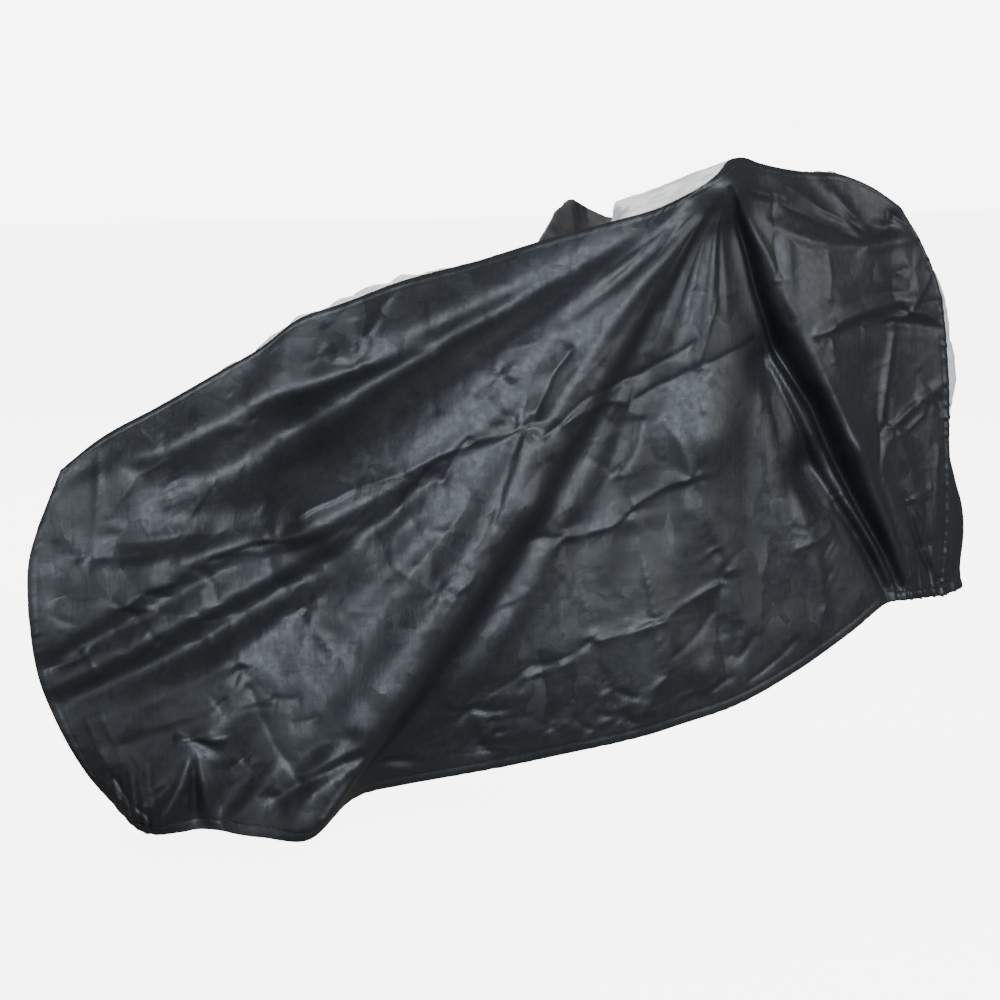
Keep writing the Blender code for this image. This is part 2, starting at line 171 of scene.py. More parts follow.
# centre strip: where its left seam lies from the right seam, and its crown.
# station 0 to 1 is the rear seam, 1 to 2 the top seam, 2 to 3 the front seam
Strip = namedtuple("Strip", "station dx dy dz crown")
STRIP = [Strip(*r) for r in (
    (0.00, +0.005, 0.315, -0.008, 0.004),
    (0.30, +0.010, 0.310, +0.000, 0.004),
    (0.70, +0.020, 0.285, -0.010, 0.004),
    (1.00, +0.020, 0.262, -0.055, 0.004),
    (1.10, +0.000, 0.240, -0.075, 0.006),
    (1.20, +0.000, 0.225, -0.080, 0.012),
    (1.30, +0.000, 0.215, -0.085, 0.026),
    (1.40, +0.000, 0.215, -0.085, 0.016),
    (1.50, -0.010, 0.240, -0.085, 0.010),
    (1.58, -0.025, 0.280, -0.090, 0.004),
    (1.65, -0.040, 0.335, -0.100, 0.006),
    (1.70, -0.040, 0.395, -0.088, 0.016),
    (1.73, -0.062, 0.430, -0.082, 0.010),
    (1.76, -0.080, 0.415, -0.100, 0.004),
    (1.82, -0.090, 0.350, -0.090, 0.008),
    (1.90, -0.075, 0.280, -0.080, 0.018),
    (2.00, -0.050, 0.215, -0.070, 0.022),
    (2.20, -0.015, 0.175, -0.050, 0.034),
    (2.40, +0.010, 0.105, -0.020, 0.034),
    (2.60, +0.002, 0.012, +0.000, 0.001),
    (2.62, +0.000, 0.000, +0.000, 0.000),
    (3.00, +0.000, 0.000, +0.000, 0.000),
)]

# folds, in side view: from (x0, z0) to (x1, z1), half width and rise at each
# end; a rise is outward, a negative one is a trough
Fold = namedtuple("Fold", "x0 z0 x1 z1 w0 w1 rise0 rise1")
RIGHT_FOLDS = [Fold(*r) for r in (
    # pulls that run from the grip back across the panel
    (+0.25, 1.08, -0.42, 0.60, 0.030, 0.060, 0.006, 0.022),
    (-0.42, 0.60, -0.84, 0.42, 0.060, 0.060, 0.022, 0.008),
    (+0.17, 1.05, -0.44, 0.72, 0.025, 0.060, -0.004, -0.018),
    (-0.44, 0.72, -0.80, 0.55, 0.060, 0.060, -0.018, -0.006),
    (-0.10, 0.96, -0.70, 0.70, 0.030, 0.050, 0.004, 0.012),
    # ridge on the rear side of the long diagonal trough
    (+0.24, 1.06, -0.05, 0.60, 0.022, 0.045, 0.004, 0.016),
    (-0.05, 0.60, -0.44, 0.10, 0.045, 0.060, 0.016, 0.030),
    # ridges and troughs below the grip
    (+0.28, 1.06, +0.26, 0.70, 0.020, 0.050, 0.010, 0.014),
    (+0.26, 0.70, +0.16, 0.24, 0.050, 0.070, 0.014, 0.010),
    (+0.32, 1.05, +0.40, 0.82, 0.028, 0.042, -0.012, -0.026),
    (+0.40, 0.82, +0.48, 0.62, 0.042, 0.046, -0.026, -0.028),
    (+0.48, 0.62, +0.66, 0.37, 0.046, 0.036, -0.028, -0.010),
    (+0.46, 0.90, +0.56, 0.66, 0.040, 0.040, 0.006, 0.016),
    (+0.56, 0.66, +0.72, 0.38, 0.040, 0.032, 0.016, 0.006),
    # lower rear
    (-0.84, 0.30, -0.40, 0.52, 0.040, 0.040, -0.006, -0.014),
    (-0.70, 0.12, -0.56, 0.34, 0.035, 0.050, 0.022, 0.008),
    (-0.60, 0.10, -0.52, 0.26, 0.030, 0.030, -0.020, -0.006),
)]
LEFT_FOLDS = [Fold(*r) for r in (
    (+0.14, 1.00, -0.46, 0.55, 0.030, 0.060, 0.008, 0.022),
    (-0.46, 0.55, -0.84, 0.36, 0.060, 0.060, 0.022, 0.008),
    (+0.06, 0.98, -0.50, 0.70, 0.028, 0.055, -0.006, -0.016),
    (+0.14, 0.98, -0.14, 0.52, 0.026, 0.050, -0.008, -0.020),
    (-0.14, 0.52, -0.34, 0.14, 0.050, 0.050, -0.020, -0.028),
    (+0.18, 0.98, +0.14, 0.60, 0.026, 0.050, 0.010, 0.018),
    (+0.14, 0.60, +0.08, 0.20, 0.050, 0.060, 0.018, 0.012),
    (+0.24, 0.98, +0.34, 0.66, 0.026, 0.036, -0.014, -0.026),
    (+0.34, 0.66, +0.52, 0.34, 0.036, 0.034, -0.026, -0.014),
    (+0.44, 0.90, +0.62, 0.42, 0.036, 0.040, 0.012, 0.016),
    (-0.66, 0.12, -0.58, 0.36, 0.035, 0.050, 0.022, 0.008),
)]
# the long diagonal step from the right grip to the rear hem: the cloth in
# front of it falls back by this much and comes out again over `recover`
Step = namedtuple("Step", "x z width drop recover")
RIGHT_STEP = [Step(*r) for r in (
    (+0.262, 1.080, 0.012, 0.000, 0.10),
    (+0.170, 0.935, 0.022, 0.018, 0.16),
    (+0.068, 0.755, 0.030, 0.032, 0.24),
    (-0.096, 0.512, 0.034, 0.046, 0.32),
    (-0.228, 0.318, 0.034, 0.062, 0.38),
    (-0.350, 0.180, 0.028, 0.080, 0.42),
    (-0.428, 0.075, 0.022, 0.100, 0.46),
)]
# round bumps: centre in side view, radius, and the push it gives
Bump = namedtuple("Bump", "x z radius dx dy dz")
RIGHT_BUMPS = [Bump(*r) for r in (
    (+0.288, 1.128, 0.050, 0.000, -0.046, 0.000),     # right grip
    (-0.020, 0.330, 0.200, 0.000, -CRANK_SWELL, 0.0),
    (-0.540, 0.330, 0.160, 0.000, -AXLE_SWELL, 0.0),
    (+0.560, 0.960, 0.120, 0.010, -0.020, 0.000),
)]
LEFT_BUMPS = [Bump(*r) for r in (
    (+0.122, 0.970, 0.092, -0.010, +0.088, 0.128),    # left grip
    (-0.020, 0.330, 0.200, 0.000, +CRANK_SWELL, 0.0),
    (-0.540, 0.330, 0.160, 0.000, +AXLE_SWELL, 0.0),
    (+0.720, 0.380, 0.140, 0.012, +0.016, 0.000),
)]



# ------------------------------------------------- finer folds of the right panel
# soft folds: start, middle and end of the line, half width at both ends, and
# the rise at start, middle and end in millimetres (a negative one is a trough)
Soft = namedtuple("Soft", "x0 z0 xm zm x1 z1 w0 w1 r0 rm r1")
RIGHT_SOFT = [Soft(*r) for r in (
    # light ridge and dark trough from the grip along the top of the panel
    (+0.22, 1.09, -0.13, 0.85, -0.48, 0.63, 0.012, 0.026, 2, 6, 6),
    (-0.48, 0.63, -0.60, 0.60, -0.72, 0.62, 0.024, 0.022, 5, 5, 2),
    (+0.12, 1.04, -0.20, 0.86, -0.45, 0.71, 0.016, 0.034, -3, -13, -14),
    (-0.45, 0.71, -0.56, 0.66, -0.66, 0.66, 0.032, 0.026, -12, -7, -2),
    (-0.22, 0.86, -0.36, 0.82, -0.52, 0.77, 0.016, 0.020, 3, 7, 5),
    (-0.52, 0.77, -0.62, 0.72, -0.76, 0.69, 0.022, 0.020, 5, 5, 2),
    (-0.08, 0.78, -0.25, 0.67, -0.45, 0.57, 0.016, 0.020, 3, 7, 6),
    # stripes of the lower rear
    (-0.45, 0.57, -0.62, 0.54, -0.85, 0.51, 0.020, 0.020, 5, 6, 3),
    (-0.47, 0.56, -0.66, 0.47, -0.86, 0.36, 0.022, 0.018, -4, -12, -9),
    (-0.36, 0.56, -0.58, 0.46, -0.84, 0.33, 0.018, 0.020, 5, 9, 6),
    (-0.42, 0.50, -0.60, 0.40, -0.84, 0.30, 0.020, 0.018, -5, -8, -5),
    (-0.46, 0.46, -0.58, 0.37, -0.78, 0.27, 0.022, 0.020, 5, 7, 3),
    (-0.56, 0.31, -0.65, 0.26, -0.76, 0.23, 0.016, 0.014, -3, -5, -2),
    (-0.70, 0.68, -0.76, 0.69, -0.82, 0.66, 0.018, 0.016, -4, -7, -3),
    (-0.60, 0.58, -0.66, 0.56, -0.75, 0.57, 0.016, 0.014, -3, -6, -2),
    # trough and ridge in the middle
    (-0.22, 0.66, -0.30, 0.59, -0.42, 0.52, 0.014, 0.018, -4, -8, -3),
    (-0.18, 0.61, -0.28, 0.53, -0.38, 0.44, 0.020, 0.024, 3, 6, 3),
    # ridge along the rear side of the long diagonal valley, and its far wall
    (+0.25, 1.07, +0.10, 0.92, -0.04, 0.72, 0.010, 0.026, 3, 9, 11),
    (-0.04, 0.72, -0.22, 0.48, -0.38, 0.28, 0.030, 0.034, 11, 14, 12),
    (-0.38, 0.28, -0.43, 0.20, -0.47, 0.11, 0.030, 0.018, 10, 9, 5),
    (+0.27, 1.08, +0.170, 0.91, +0.055, 0.72, 0.011, 0.030, -3, -11, -15),
    (+0.055, 0.72, -0.075, 0.525, -0.21, 0.345, 0.031, 0.036, -15, -18, -18),
    (-0.21, 0.345, -0.29, 0.245, -0.38, 0.14, 0.034, 0.018, -18, -15, -8),
    (-0.28, 0.25, -0.35, 0.20, -0.42, 0.12, 0.010, 0.009, 3, 7, 6),
    (+0.14, 0.84, +0.05, 0.65, -0.05, 0.48, 0.020, 0.030, 3, 9, 9),
    (-0.05, 0.48, -0.13, 0.36, -0.24, 0.24, 0.030, 0.026, 9, 8, 5),
    # rays under the grip
    (+0.26, 1.09, +0.20, 0.97, +0.16, 0.85, 0.009, 0.014, 2, 4, 3),
    (+0.27, 1.08, +0.24, 0.96, +0.21, 0.86, 0.008, 0.013, -2, -4, -2),
    (+0.28, 1.08, +0.27, 0.94, +0.24, 0.82, 0.008, 0.016, 1, 3, 2),
    (+0.29, 1.08, +0.29, 1.00, +0.29, 0.92, 0.006, 0.012, -2, -4, -2),
    (+0.22, 1.08, +0.13, 1.01, -0.02, 0.94, 0.010, 0.018, 2, 4, 3),
    (+0.20, 1.06, +0.11, 0.98, +0.01, 0.91, 0.008, 0.012, -2, -4, -3),
    (+0.19, 1.04, +0.12, 0.95, +0.05, 0.87, 0.008, 0.012, 2, 4, 2),
    # light and dark columns right of the middle
    (+0.30, 0.92, +0.30, 0.72, +0.28, 0.56, 0.030, 0.040, 2, 5, 4),
    (+0.15, 0.78, +0.13, 0.66, +0.08, 0.50, 0.026, 0.030, 4, 7, 4),
    (+0.19, 0.64, +0.20, 0.50, +0.23, 0.38, 0.030, 0.034, -5, -10, -6),
    (+0.25, 0.58, +0.30, 0.50, +0.34, 0.36, 0.024, 0.030, 4, 7, 3),
    (+0.37, 0.78, +0.36, 0.60, +0.40, 0.40, 0.026, 0.036, -4, -10, -5),
    (+0.44, 0.74, +0.45, 0.62, +0.47, 0.50, 0.020, 0.022, 4, 8, 5),
    (+0.47, 0.48, +0.49, 0.42, +0.50, 0.34, 0.018, 0.016, 4, 7, 3),
    (+0.24, 0.32, +0.26, 0.29, +0.29, 0.27, 0.026, 0.024, 3, 7, 3),
    # the deep narrow valley from the grip to the gathered hem, with its ribs
    (+0.295, 1.12, +0.33, 1.06, +0.36, 0.98, 0.006, 0.009, -5, -16, -24),
    (+0.36, 0.98, +0.41, 0.86, +0.49, 0.73, 0.009, 0.014, -24, -36, -42),
    (+0.49, 0.73, +0.55, 0.61, +0.62, 0.49, 0.014, 0.011, -42, -42, -30),
    (+0.62, 0.49, +0.65, 0.44, +0.68, 0.38, 0.011, 0.009, -30, -18, -8),
    (+0.40, 0.84, +0.46, 0.71, +0.53, 0.58, 0.007, 0.009, 3, 10, 6),
    (+0.41, 0.80, +0.48, 0.66, +0.54, 0.55, 0.007, 0.009, -4, -10, -9),
    (+0.54, 0.55, +0.60, 0.46, +0.65, 0.37, 0.010, 0.010, -9, -12, -7),
    (+0.54, 0.57, +0.60, 0.49, +0.65, 0.40, 0.007, 0.008, 4, 10, 5),
    (+0.31, 1.11, +0.38, 1.00, +0.44, 0.87, 0.008, 0.016, 4, 8, 9),
    (+0.44, 0.87, +0.51, 0.75, +0.58, 0.62, 0.014, 0.016, 9, 10, 9),
    (+0.58, 0.62, +0.63, 0.52, +0.69, 0.40, 0.014, 0.011, 9, 8, 5),
    (+0.61, 0.62, +0.66, 0.51, +0.70, 0.42, 0.010, 0.010, -4, -7, -4),
    # the front: shelves, strips and slits
    (+0.39, 1.055, +0.54, 1.015, +0.70, 1.02, 0.012, 0.014, 4, 7, 5),
    (+0.45, 1.08, +0.55, 1.05, +0.66, 1.04, 0.014, 0.014, -2, -6, -5),
    (+0.50, 1.13, +0.55, 1.08, +0.61, 1.02, 0.012, 0.010, 3, 6, 3),
    (+0.32, 1.13, +0.37, 1.11, +0.42, 1.10, 0.008, 0.010, 3, 6, 3),
    (+0.42, 1.04, +0.42, 0.97, +0.43, 0.90, 0.014, 0.016, 4, 6, 3),
    (+0.47, 0.86, +0.57, 0.895, +0.70, 0.91, 0.012, 0.014, 3, 7, 6),
    (+0.52, 0.86, +0.63, 0.87, +0.78, 0.85, 0.014, 0.012, -3, -8, -5),
    (+0.66, 0.86, +0.64, 0.75, +0.63, 0.68, 0.008, 0.008, 3, 7, 3),
    (+0.62, 0.71, +0.63, 0.66, +0.62, 0.61, 0.006, 0.006, -2, -7, -3),
    (+0.64, 0.67, +0.70, 0.71, +0.78, 0.75, 0.012, 0.012, 3, 7, 4),
    (+0.66, 0.66, +0.70, 0.60, +0.72, 0.52, 0.020, 0.018, 3, 7, 4),
    (+0.69, 0.55, +0.73, 0.45, +0.78, 0.37, 0.008, 0.009, -4, -11, -7),
    (+0.68, 0.93, +0.63, 0.95, +0.56, 0.96, 0.016, 0.018, 3, 5, 2),
    # the pocket and the cone folds over the rear hem, and the long low fold
    (-0.645, 0.26, -0.62, 0.245, -0.59, 0.23, 0.010, 0.012, -6, -9, -5),
    (-0.62, 0.22, -0.61, 0.16, -0.60, 0.10, 0.006, 0.014, 3, 9, 10),
    (-0.63, 0.21, -0.63, 0.16, -0.63, 0.10, 0.005, 0.013, -3, -9, -9),
    (-0.64, 0.21, -0.66, 0.16, -0.68, 0.11, 0.007, 0.014, 3, 8, 6),
    (-0.65, 0.19, -0.69, 0.15, -0.71, 0.11, 0.010, 0.012, -2, -7, -8),
    (-0.36, 0.22, -0.43, 0.19, -0.50, 0.15, 0.010, 0.012, -5, -7, -4),
    (-0.37, 0.25, -0.42, 0.24, -0.46, 0.21, 0.014, 0.014, -3, -6, -3),
    (-0.50, 0.20, -0.54, 0.15, -0.58, 0.11, 0.014, 0.014, 3, 6, 4),
    (-0.34, 0.18, -0.30, 0.175, -0.26, 0.165, 0.009, 0.008, -7, -8, -3),
)]
# creases: start, middle and end of the line, reach of the facet beside it,
# lean (+1 puts the broad facet on the left of the line), and the rise in mm
Crease = namedtuple("Crease", "x0 z0 xm zm x1 z1 reach lean rise")
RIGHT_CREASES = [Crease(*r) for r in (
    # rear columns and stripes
    (-0.760, 0.71, -0.765, 0.62, -0.780, 0.54, 0.014, +0.3, +2.6),
    (-0.700, 0.67, -0.725, 0.63, -0.750, 0.60, 0.014, -0.3, +2.2),
    (-0.650, 0.74, -0.655, 0.67, -0.645, 0.61, 0.014, +0.2, -2.4),
    (-0.595, 0.78, -0.590, 0.70, -0.570, 0.62, 0.012, +0.2, +2.4),
    (-0.545, 0.79, -0.520, 0.77, -0.500, 0.75, 0.012, -0.2, -2.4),
    (-0.500, 0.77, -0.510, 0.70, -0.530, 0.64, 0.014, +0.2, +2.4),
    (-0.640, 0.66, -0.620, 0.63, -0.600, 0.61, 0.016, +0.0, -2.4),
    (-0.790, 0.54, -0.720, 0.54, -0.650, 0.55, 0.012, -0.3, -2.2),
    (-0.850, 0.47, -0.790, 0.48, -0.730, 0.46, 0.014, +0.2, -3.0),
    (-0.730, 0.46, -0.665, 0.45, -0.600, 0.44, 0.014, -0.2, +3.4),
    (-0.700, 0.48, -0.650, 0.47, -0.600, 0.44, 0.012, +0.2, -3.0),
    (-0.725, 0.46, -0.700, 0.43, -0.670, 0.40, 0.012, -0.2, -3.4),
    (-0.730, 0.46, -0.700, 0.48, -0.640, 0.50, 0.014, +0.0, +2.4),
    (-0.590, 0.53, -0.530, 0.55, -0.480, 0.56, 0.012, -0.3, -3.4),
    (-0.620, 0.52, -0.590, 0.50, -0.580, 0.46, 0.012, +0.0, -2.8),
    (-0.500, 0.615, -0.470, 0.60, -0.440, 0.595, 0.010, -0.2, -3.4),
    (-0.400, 0.68, -0.375, 0.66, -0.340, 0.645, 0.010, -0.2, -3.0),
    (-0.800, 0.39, -0.785, 0.37, -0.775, 0.34, 0.010, +0.2, +2.6),
    (-0.860, 0.36, -0.830, 0.365, -0.790, 0.38, 0.010, +0.2, -3.4),
    (-0.850, 0.45, -0.820, 0.44, -0.800, 0.43, 0.012, +0.0, -2.0),
    (-0.560, 0.44, -0.550, 0.40, -0.545, 0.36, 0.014, +0.0, +2.6),
    (-0.545, 0.37, -0.560, 0.33, -0.590, 0.30, 0.014, -0.2, -3.0),
    (-0.600, 0.44, -0.590, 0.41, -0.550, 0.38, 0.016, +0.2, -2.2),
    (-0.540, 0.34, -0.500, 0.25, -0.450, 0.16, 0.014, +0.5, -3.6),
    (-0.490, 0.55, -0.480, 0.50, -0.440, 0.44, 0.014, +0.0, -2.6),
    (-0.480, 0.45, -0.460, 0.44, -0.440, 0.46, 0.012, +0.0, +2.6),
    (-0.500, 0.315, -0.475, 0.31, -0.450, 0.31, 0.012, +0.0, -2.2),
    (-0.470, 0.27, -0.440, 0.275, -0.420, 0.285, 0.012, +0.2, -2.0),
    (-0.660, 0.25, -0.610, 0.25, -0.570, 0.25, 0.010, -0.2, +3.6),
    (-0.780, 0.29, -0.755, 0.24, -0.740, 0.20, 0.010, +0.0, +1.4),
    (-0.800, 0.28, -0.780, 0.23, -0.760, 0.19, 0.010, +0.0, +1.4),
    (-0.570, 0.20, -0.550, 0.21, -0.530, 0.23, 0.010, +0.2, -2.4),
    (-0.760, 0.18, -0.730, 0.14, -0.700, 0.11, 0.009, +0.2, -4.0),
    (-0.770, 0.15, -0.750, 0.13, -0.730, 0.11, 0.009, +0.0, +4.0),
    # top
    (-0.375, 0.90, -0.365, 0.87, -0.365, 0.84, 0.010, +0.0, +2.6),
    (-0.330, 0.91, -0.330, 0.87, -0.340, 0.83, 0.010, +0.2, -2.4),
    (-0.260, 0.95, -0.290, 0.91, -0.310, 0.88, 0.010, -0.3, +3.4),
    (-0.310, 0.88, -0.320, 0.85, -0.340, 0.83, 0.012, +0.0, -2.8),
    (-0.210, 0.94, -0.205, 0.90, -0.205, 0.85, 0.012, +0.2, +2.4),
    (-0.205, 0.85, -0.215, 0.80, -0.210, 0.76, 0.010, +0.2, -1.6),
    (-0.240, 0.79, -0.265, 0.77, -0.290, 0.74, 0.010, -0.4, -3.4),
    (-0.110, 0.97, -0.105, 0.92, -0.095, 0.87, 0.012, +0.2, +1.8),
    (+0.000, 1.03, +0.010, 0.97, +0.020, 0.90, 0.012, +0.2, +1.8),
    (+0.045, 1.04, +0.035, 1.01, +0.030, 0.98, 0.010, +0.0, +2.0),
    # middle
    (-0.450, 0.600, -0.360, 0.640, -0.270, 0.665, 0.012, +0.6, +4.6),
    (-0.270, 0.665, -0.200, 0.700, -0.100, 0.725, 0.014, +0.4, +3.2),
    (-0.205, 0.645, -0.185, 0.690, -0.155, 0.725, 0.011, -0.2, -4.6),
    (-0.250, 0.640, -0.230, 0.670, -0.195, 0.690, 0.010, +0.0, -4.0),
    (-0.255, 0.650, -0.265, 0.625, -0.275, 0.605, 0.010, +0.0, -3.0),
    (-0.150, 0.800, -0.110, 0.770, -0.075, 0.740, 0.014, +0.2, -3.2),
    (-0.145, 0.850, -0.110, 0.835, -0.085, 0.800, 0.012, +0.2, -3.0),
    (-0.070, 0.735, -0.100, 0.660, -0.130, 0.570, 0.018, -0.3, -4.4),
    (-0.170, 0.690, -0.150, 0.640, -0.130, 0.600, 0.014, +0.0, +1.6),
    (+0.020, 0.870, -0.020, 0.810, -0.050, 0.750, 0.016, -0.4, -4.4),
    (+0.055, 0.790, +0.000, 0.750, -0.040, 0.715, 0.014, -0.2, -4.6),
    (+0.250, 0.865, +0.150, 0.815, +0.055, 0.790, 0.014, +0.3, -4.2),
    (+0.370, 0.860, +0.240, 0.815, +0.130, 0.765, 0.018, +0.4, -4.0),
    (+0.130, 0.765, +0.060, 0.765, -0.010, 0.735, 0.014, -0.3, +3.6),
    (+0.285, 0.945, +0.265, 0.870, +0.250, 0.815, 0.008, +0.0, +2.4),
    (+0.250, 0.815, +0.250, 0.780, +0.260, 0.740, 0.010, +0.2, -2.4),
    (+0.270, 0.810, +0.300, 0.780, +0.330, 0.750, 0.012, +0.0, +1.8),
    (+0.045, 0.680, +0.070, 0.665, +0.100, 0.640, 0.012, +0.0, -2.6),
    (+0.150, 0.740, +0.140, 0.690, +0.110, 0.640, 0.016, -0.4, -3.4),
    (-0.190, 0.530, -0.160, 0.510, -0.200, 0.475, 0.010, +0.0, +2.2),
    (-0.220, 0.480, -0.235, 0.540, -0.260, 0.590, 0.014, +0.0, -2.6),
    (-0.290, 0.570, -0.290, 0.520, -0.240, 0.490, 0.016, +0.0, +2.0),
    (-0.440, 0.400, -0.400, 0.395, -0.350, 0.390, 0.012, +0.2, -2.6),
    (-0.240, 0.570, -0.190, 0.575, -0.150, 0.565, 0.012, -0.2, -2.0),
    # the four packing lines down the middle and the two across
    (-0.130, 0.550, -0.110, 0.490, -0.095, 0.440, 0.012, +0.0, -2.6),
    (-0.095, 0.440, -0.070, 0.380, -0.045, 0.310, 0.018, +0.3, -3.8),
    (-0.045, 0.310, -0.030, 0.260, -0.010, 0.210, 0.018, +0.2, -4.2),
    (-0.030, 0.690, -0.010, 0.620, +0.005, 0.550, 0.014, +0.2, -2.6),
    (+0.010, 0.540, +0.030, 0.470, +0.055, 0.370, 0.020, +0.3, -4.6),
    (+0.055, 0.370, +0.070, 0.310, +0.085, 0.270, 0.014, +0.2, -5.0),
    (+0.085, 0.270, +0.095, 0.240, +0.110, 0.215, 0.012, +0.0, -4.0),
    (+0.110, 0.640, +0.120, 0.600, +0.135, 0.575, 0.016, +0.4, -3.4),
    (+0.135, 0.575, +0.150, 0.480, +0.170, 0.390, 0.020, +0.6, +4.6),
    (+0.170, 0.390, +0.175, 0.340, +0.190, 0.290, 0.016, +0.6, +4.0),
    (+0.190, 0.740, +0.215, 0.690, +0.240, 0.630, 0.014, -0.4, +3.0),
    (+0.240, 0.630, +0.255, 0.570, +0.280, 0.500, 0.014, -0.2, -4.4),
    (+0.280, 0.500, +0.295, 0.470, +0.295, 0.440, 0.012, +0.0, -4.6),
    (+0.295, 0.440, +0.295, 0.400, +0.300, 0.340, 0.014, +0.0, -3.2),
    (+0.240, 0.630, +0.180, 0.610, +0.130, 0.580, 0.016, -0.5, +4.4),
    (+0.130, 0.580, +0.070, 0.550, +0.005, 0.545, 0.016, -0.4, +4.2),
    (+0.005, 0.545, -0.030, 0.545, -0.060, 0.540, 0.012, +0.0, -3.2),
    (-0.165, 0.255, -0.110, 0.290, -0.045, 0.330, 0.014, -0.2, -2.8),
    (-0.045, 0.330, +0.000, 0.335, +0.055, 0.365, 0.014, -0.2, -3.0),
    (+0.055, 0.365, +0.110, 0.370, +0.170, 0.385, 0.014, -0.4, +4.4),
    (+0.170, 0.385, +0.230, 0.415, +0.295, 0.445, 0.016, -0.5, +4.2),
    (+0.200, 0.320, +0.240, 0.345, +0.290, 0.400, 0.016, +0.3, -2.8),
    # along the hem
    (-0.165, 0.255, -0.175, 0.300, -0.190, 0.350, 0.012, +0.0, +3.2),
    (-0.165, 0.255, -0.150, 0.210, -0.125, 0.170, 0.012, +0.0, -4.4),
    (-0.160, 0.255, -0.120, 0.250, -0.090, 0.250, 0.010, +0.0, -3.4),
    (-0.165, 0.255, -0.180, 0.235, -0.190, 0.210, 0.012, +0.0, -2.6),
    (-0.120, 0.235, -0.115, 0.215, -0.105, 0.210, 0.010, +0.0, -4.6),
    (-0.070, 0.335, -0.065, 0.310, -0.075, 0.280, 0.010, +0.0, -2.6),
    (+0.020, 0.225, +0.035, 0.215, +0.055, 0.200, 0.010, +0.2, -4.8),
    (+0.085, 0.275, +0.110, 0.265, +0.140, 0.255, 0.012, -0.2, -3.6),
    (+0.190, 0.290, +0.165, 0.265, +0.150, 0.220, 0.012, +0.0, +4.4),
    (+0.110, 0.235, +0.125, 0.215, +0.140, 0.210, 0.012, +0.0, -5.0),
    (+0.210, 0.250, +0.250, 0.255, +0.290, 0.270, 0.012, +0.0, +2.2),
    (+0.280, 0.250, +0.300, 0.265, +0.320, 0.270, 0.010, +0.0, -3.6),
    (+0.290, 0.380, +0.305, 0.340, +0.310, 0.300, 0.009, +0.2, -3.4),
    (+0.335, 0.370, +0.325, 0.335, +0.315, 0.300, 0.009, -0.2, -3.4),
    (+0.365, 0.345, +0.345, 0.320, +0.320, 0.295, 0.009, +0.0, -3.2),
    (+0.450, 0.330, +0.400, 0.290, +0.350, 0.260, 0.010, +0.0, -2.6),
    # right of the middle
    (+0.400, 0.840, +0.400, 0.760, +0.415, 0.680, 0.012, +0.2, -2.4),
    (+0.380, 0.850, +0.380, 0.790, +0.370, 0.700, 0.012, +0.0, +2.0),
    (+0.440, 0.490, +0.480, 0.500, +0.530, 0.520, 0.014, -0.3, +4.0),
    (+0.435, 0.530, +0.460, 0.520, +0.500, 0.530, 0.012, +0.2, -3.0),
    (+0.440, 0.500, +0.435, 0.540, +0.430, 0.600, 0.012, +0.0, -2.4),
    (+0.520, 0.490, +0.500, 0.460, +0.520, 0.430, 0.012, +0.0, -2.4),
    (+0.500, 0.380, +0.490, 0.350, +0.480, 0.320, 0.012, +0.2, +2.6),
    # front
    (+0.395, 1.110, +0.395, 1.040, +0.400, 0.960, 0.012, +0.2, -3.4),
    (+0.400, 0.960, +0.410, 0.920, +0.430, 0.880, 0.010, +0.0, -2.6),
    (+0.400, 1.100, +0.480, 1.060, +0.590, 1.020, 0.014, +0.3, -4.0),
    (+0.430, 1.120, +0.500, 1.080, +0.590, 1.030, 0.014, -0.2, +3.4),
    (+0.520, 1.120, +0.540, 1.080, +0.600, 1.030, 0.012, +0.3, -3.2),
    (+0.640, 1.070, +0.680, 1.050, +0.710, 1.020, 0.014, +0.2, -3.8),
    (+0.600, 1.020, +0.650, 1.040, +0.655, 1.070, 0.012, +0.0, -2.8),
    (+0.500, 1.010, +0.505, 0.960, +0.500, 0.920, 0.012, +0.2, +2.4),
    (+0.690, 0.885, +0.720, 0.920, +0.745, 0.960, 0.012, +0.2, +3.8),
    (+0.690, 0.885, +0.730, 0.880, +0.780, 0.855, 0.012, -0.2, +4.2),
    (+0.690, 0.885, +0.640, 0.875, +0.580, 0.870, 0.012, +0.3, +4.0),
    (+0.690, 0.885, +0.660, 0.910, +0.650, 0.950, 0.012, +0.0, -3.2),
    (+0.700, 0.890, +0.740, 0.900, +0.770, 0.905, 0.012, +0.0, -3.2),
    (+0.600, 0.960, +0.640, 0.955, +0.690, 0.965, 0.012, +0.2, -3.2),
    (+0.510, 0.860, +0.510, 0.830, +0.515, 0.810, 0.010, +0.0, +2.6),
    (+0.470, 0.865, +0.500, 0.870, +0.520, 0.875, 0.010, +0.0, +3.2),
    (+0.630, 0.680, +0.670, 0.700, +0.720, 0.730, 0.010, +0.0, -3.2),
    (+0.640, 0.660, +0.690, 0.670, +0.740, 0.700, 0.010, +0.0, +3.2),
    (+0.720, 0.780, +0.750, 0.740, +0.780, 0.690, 0.012, +0.0, -2.8),
    (+0.695, 0.540, +0.730, 0.550, +0.760, 0.560, 0.012, +0.0, +2.8),
    (+0.700, 0.540, +0.735, 0.490, +0.755, 0.440, 0.011, +0.0, -4.0),
    (+0.740, 0.540, +0.745, 0.490, +0.740, 0.440, 0.010, +0.0, -3.0),
    (+0.770, 0.640, +0.765, 0.560, +0.770, 0.460, 0.012, +0.2, +2.6),
)]
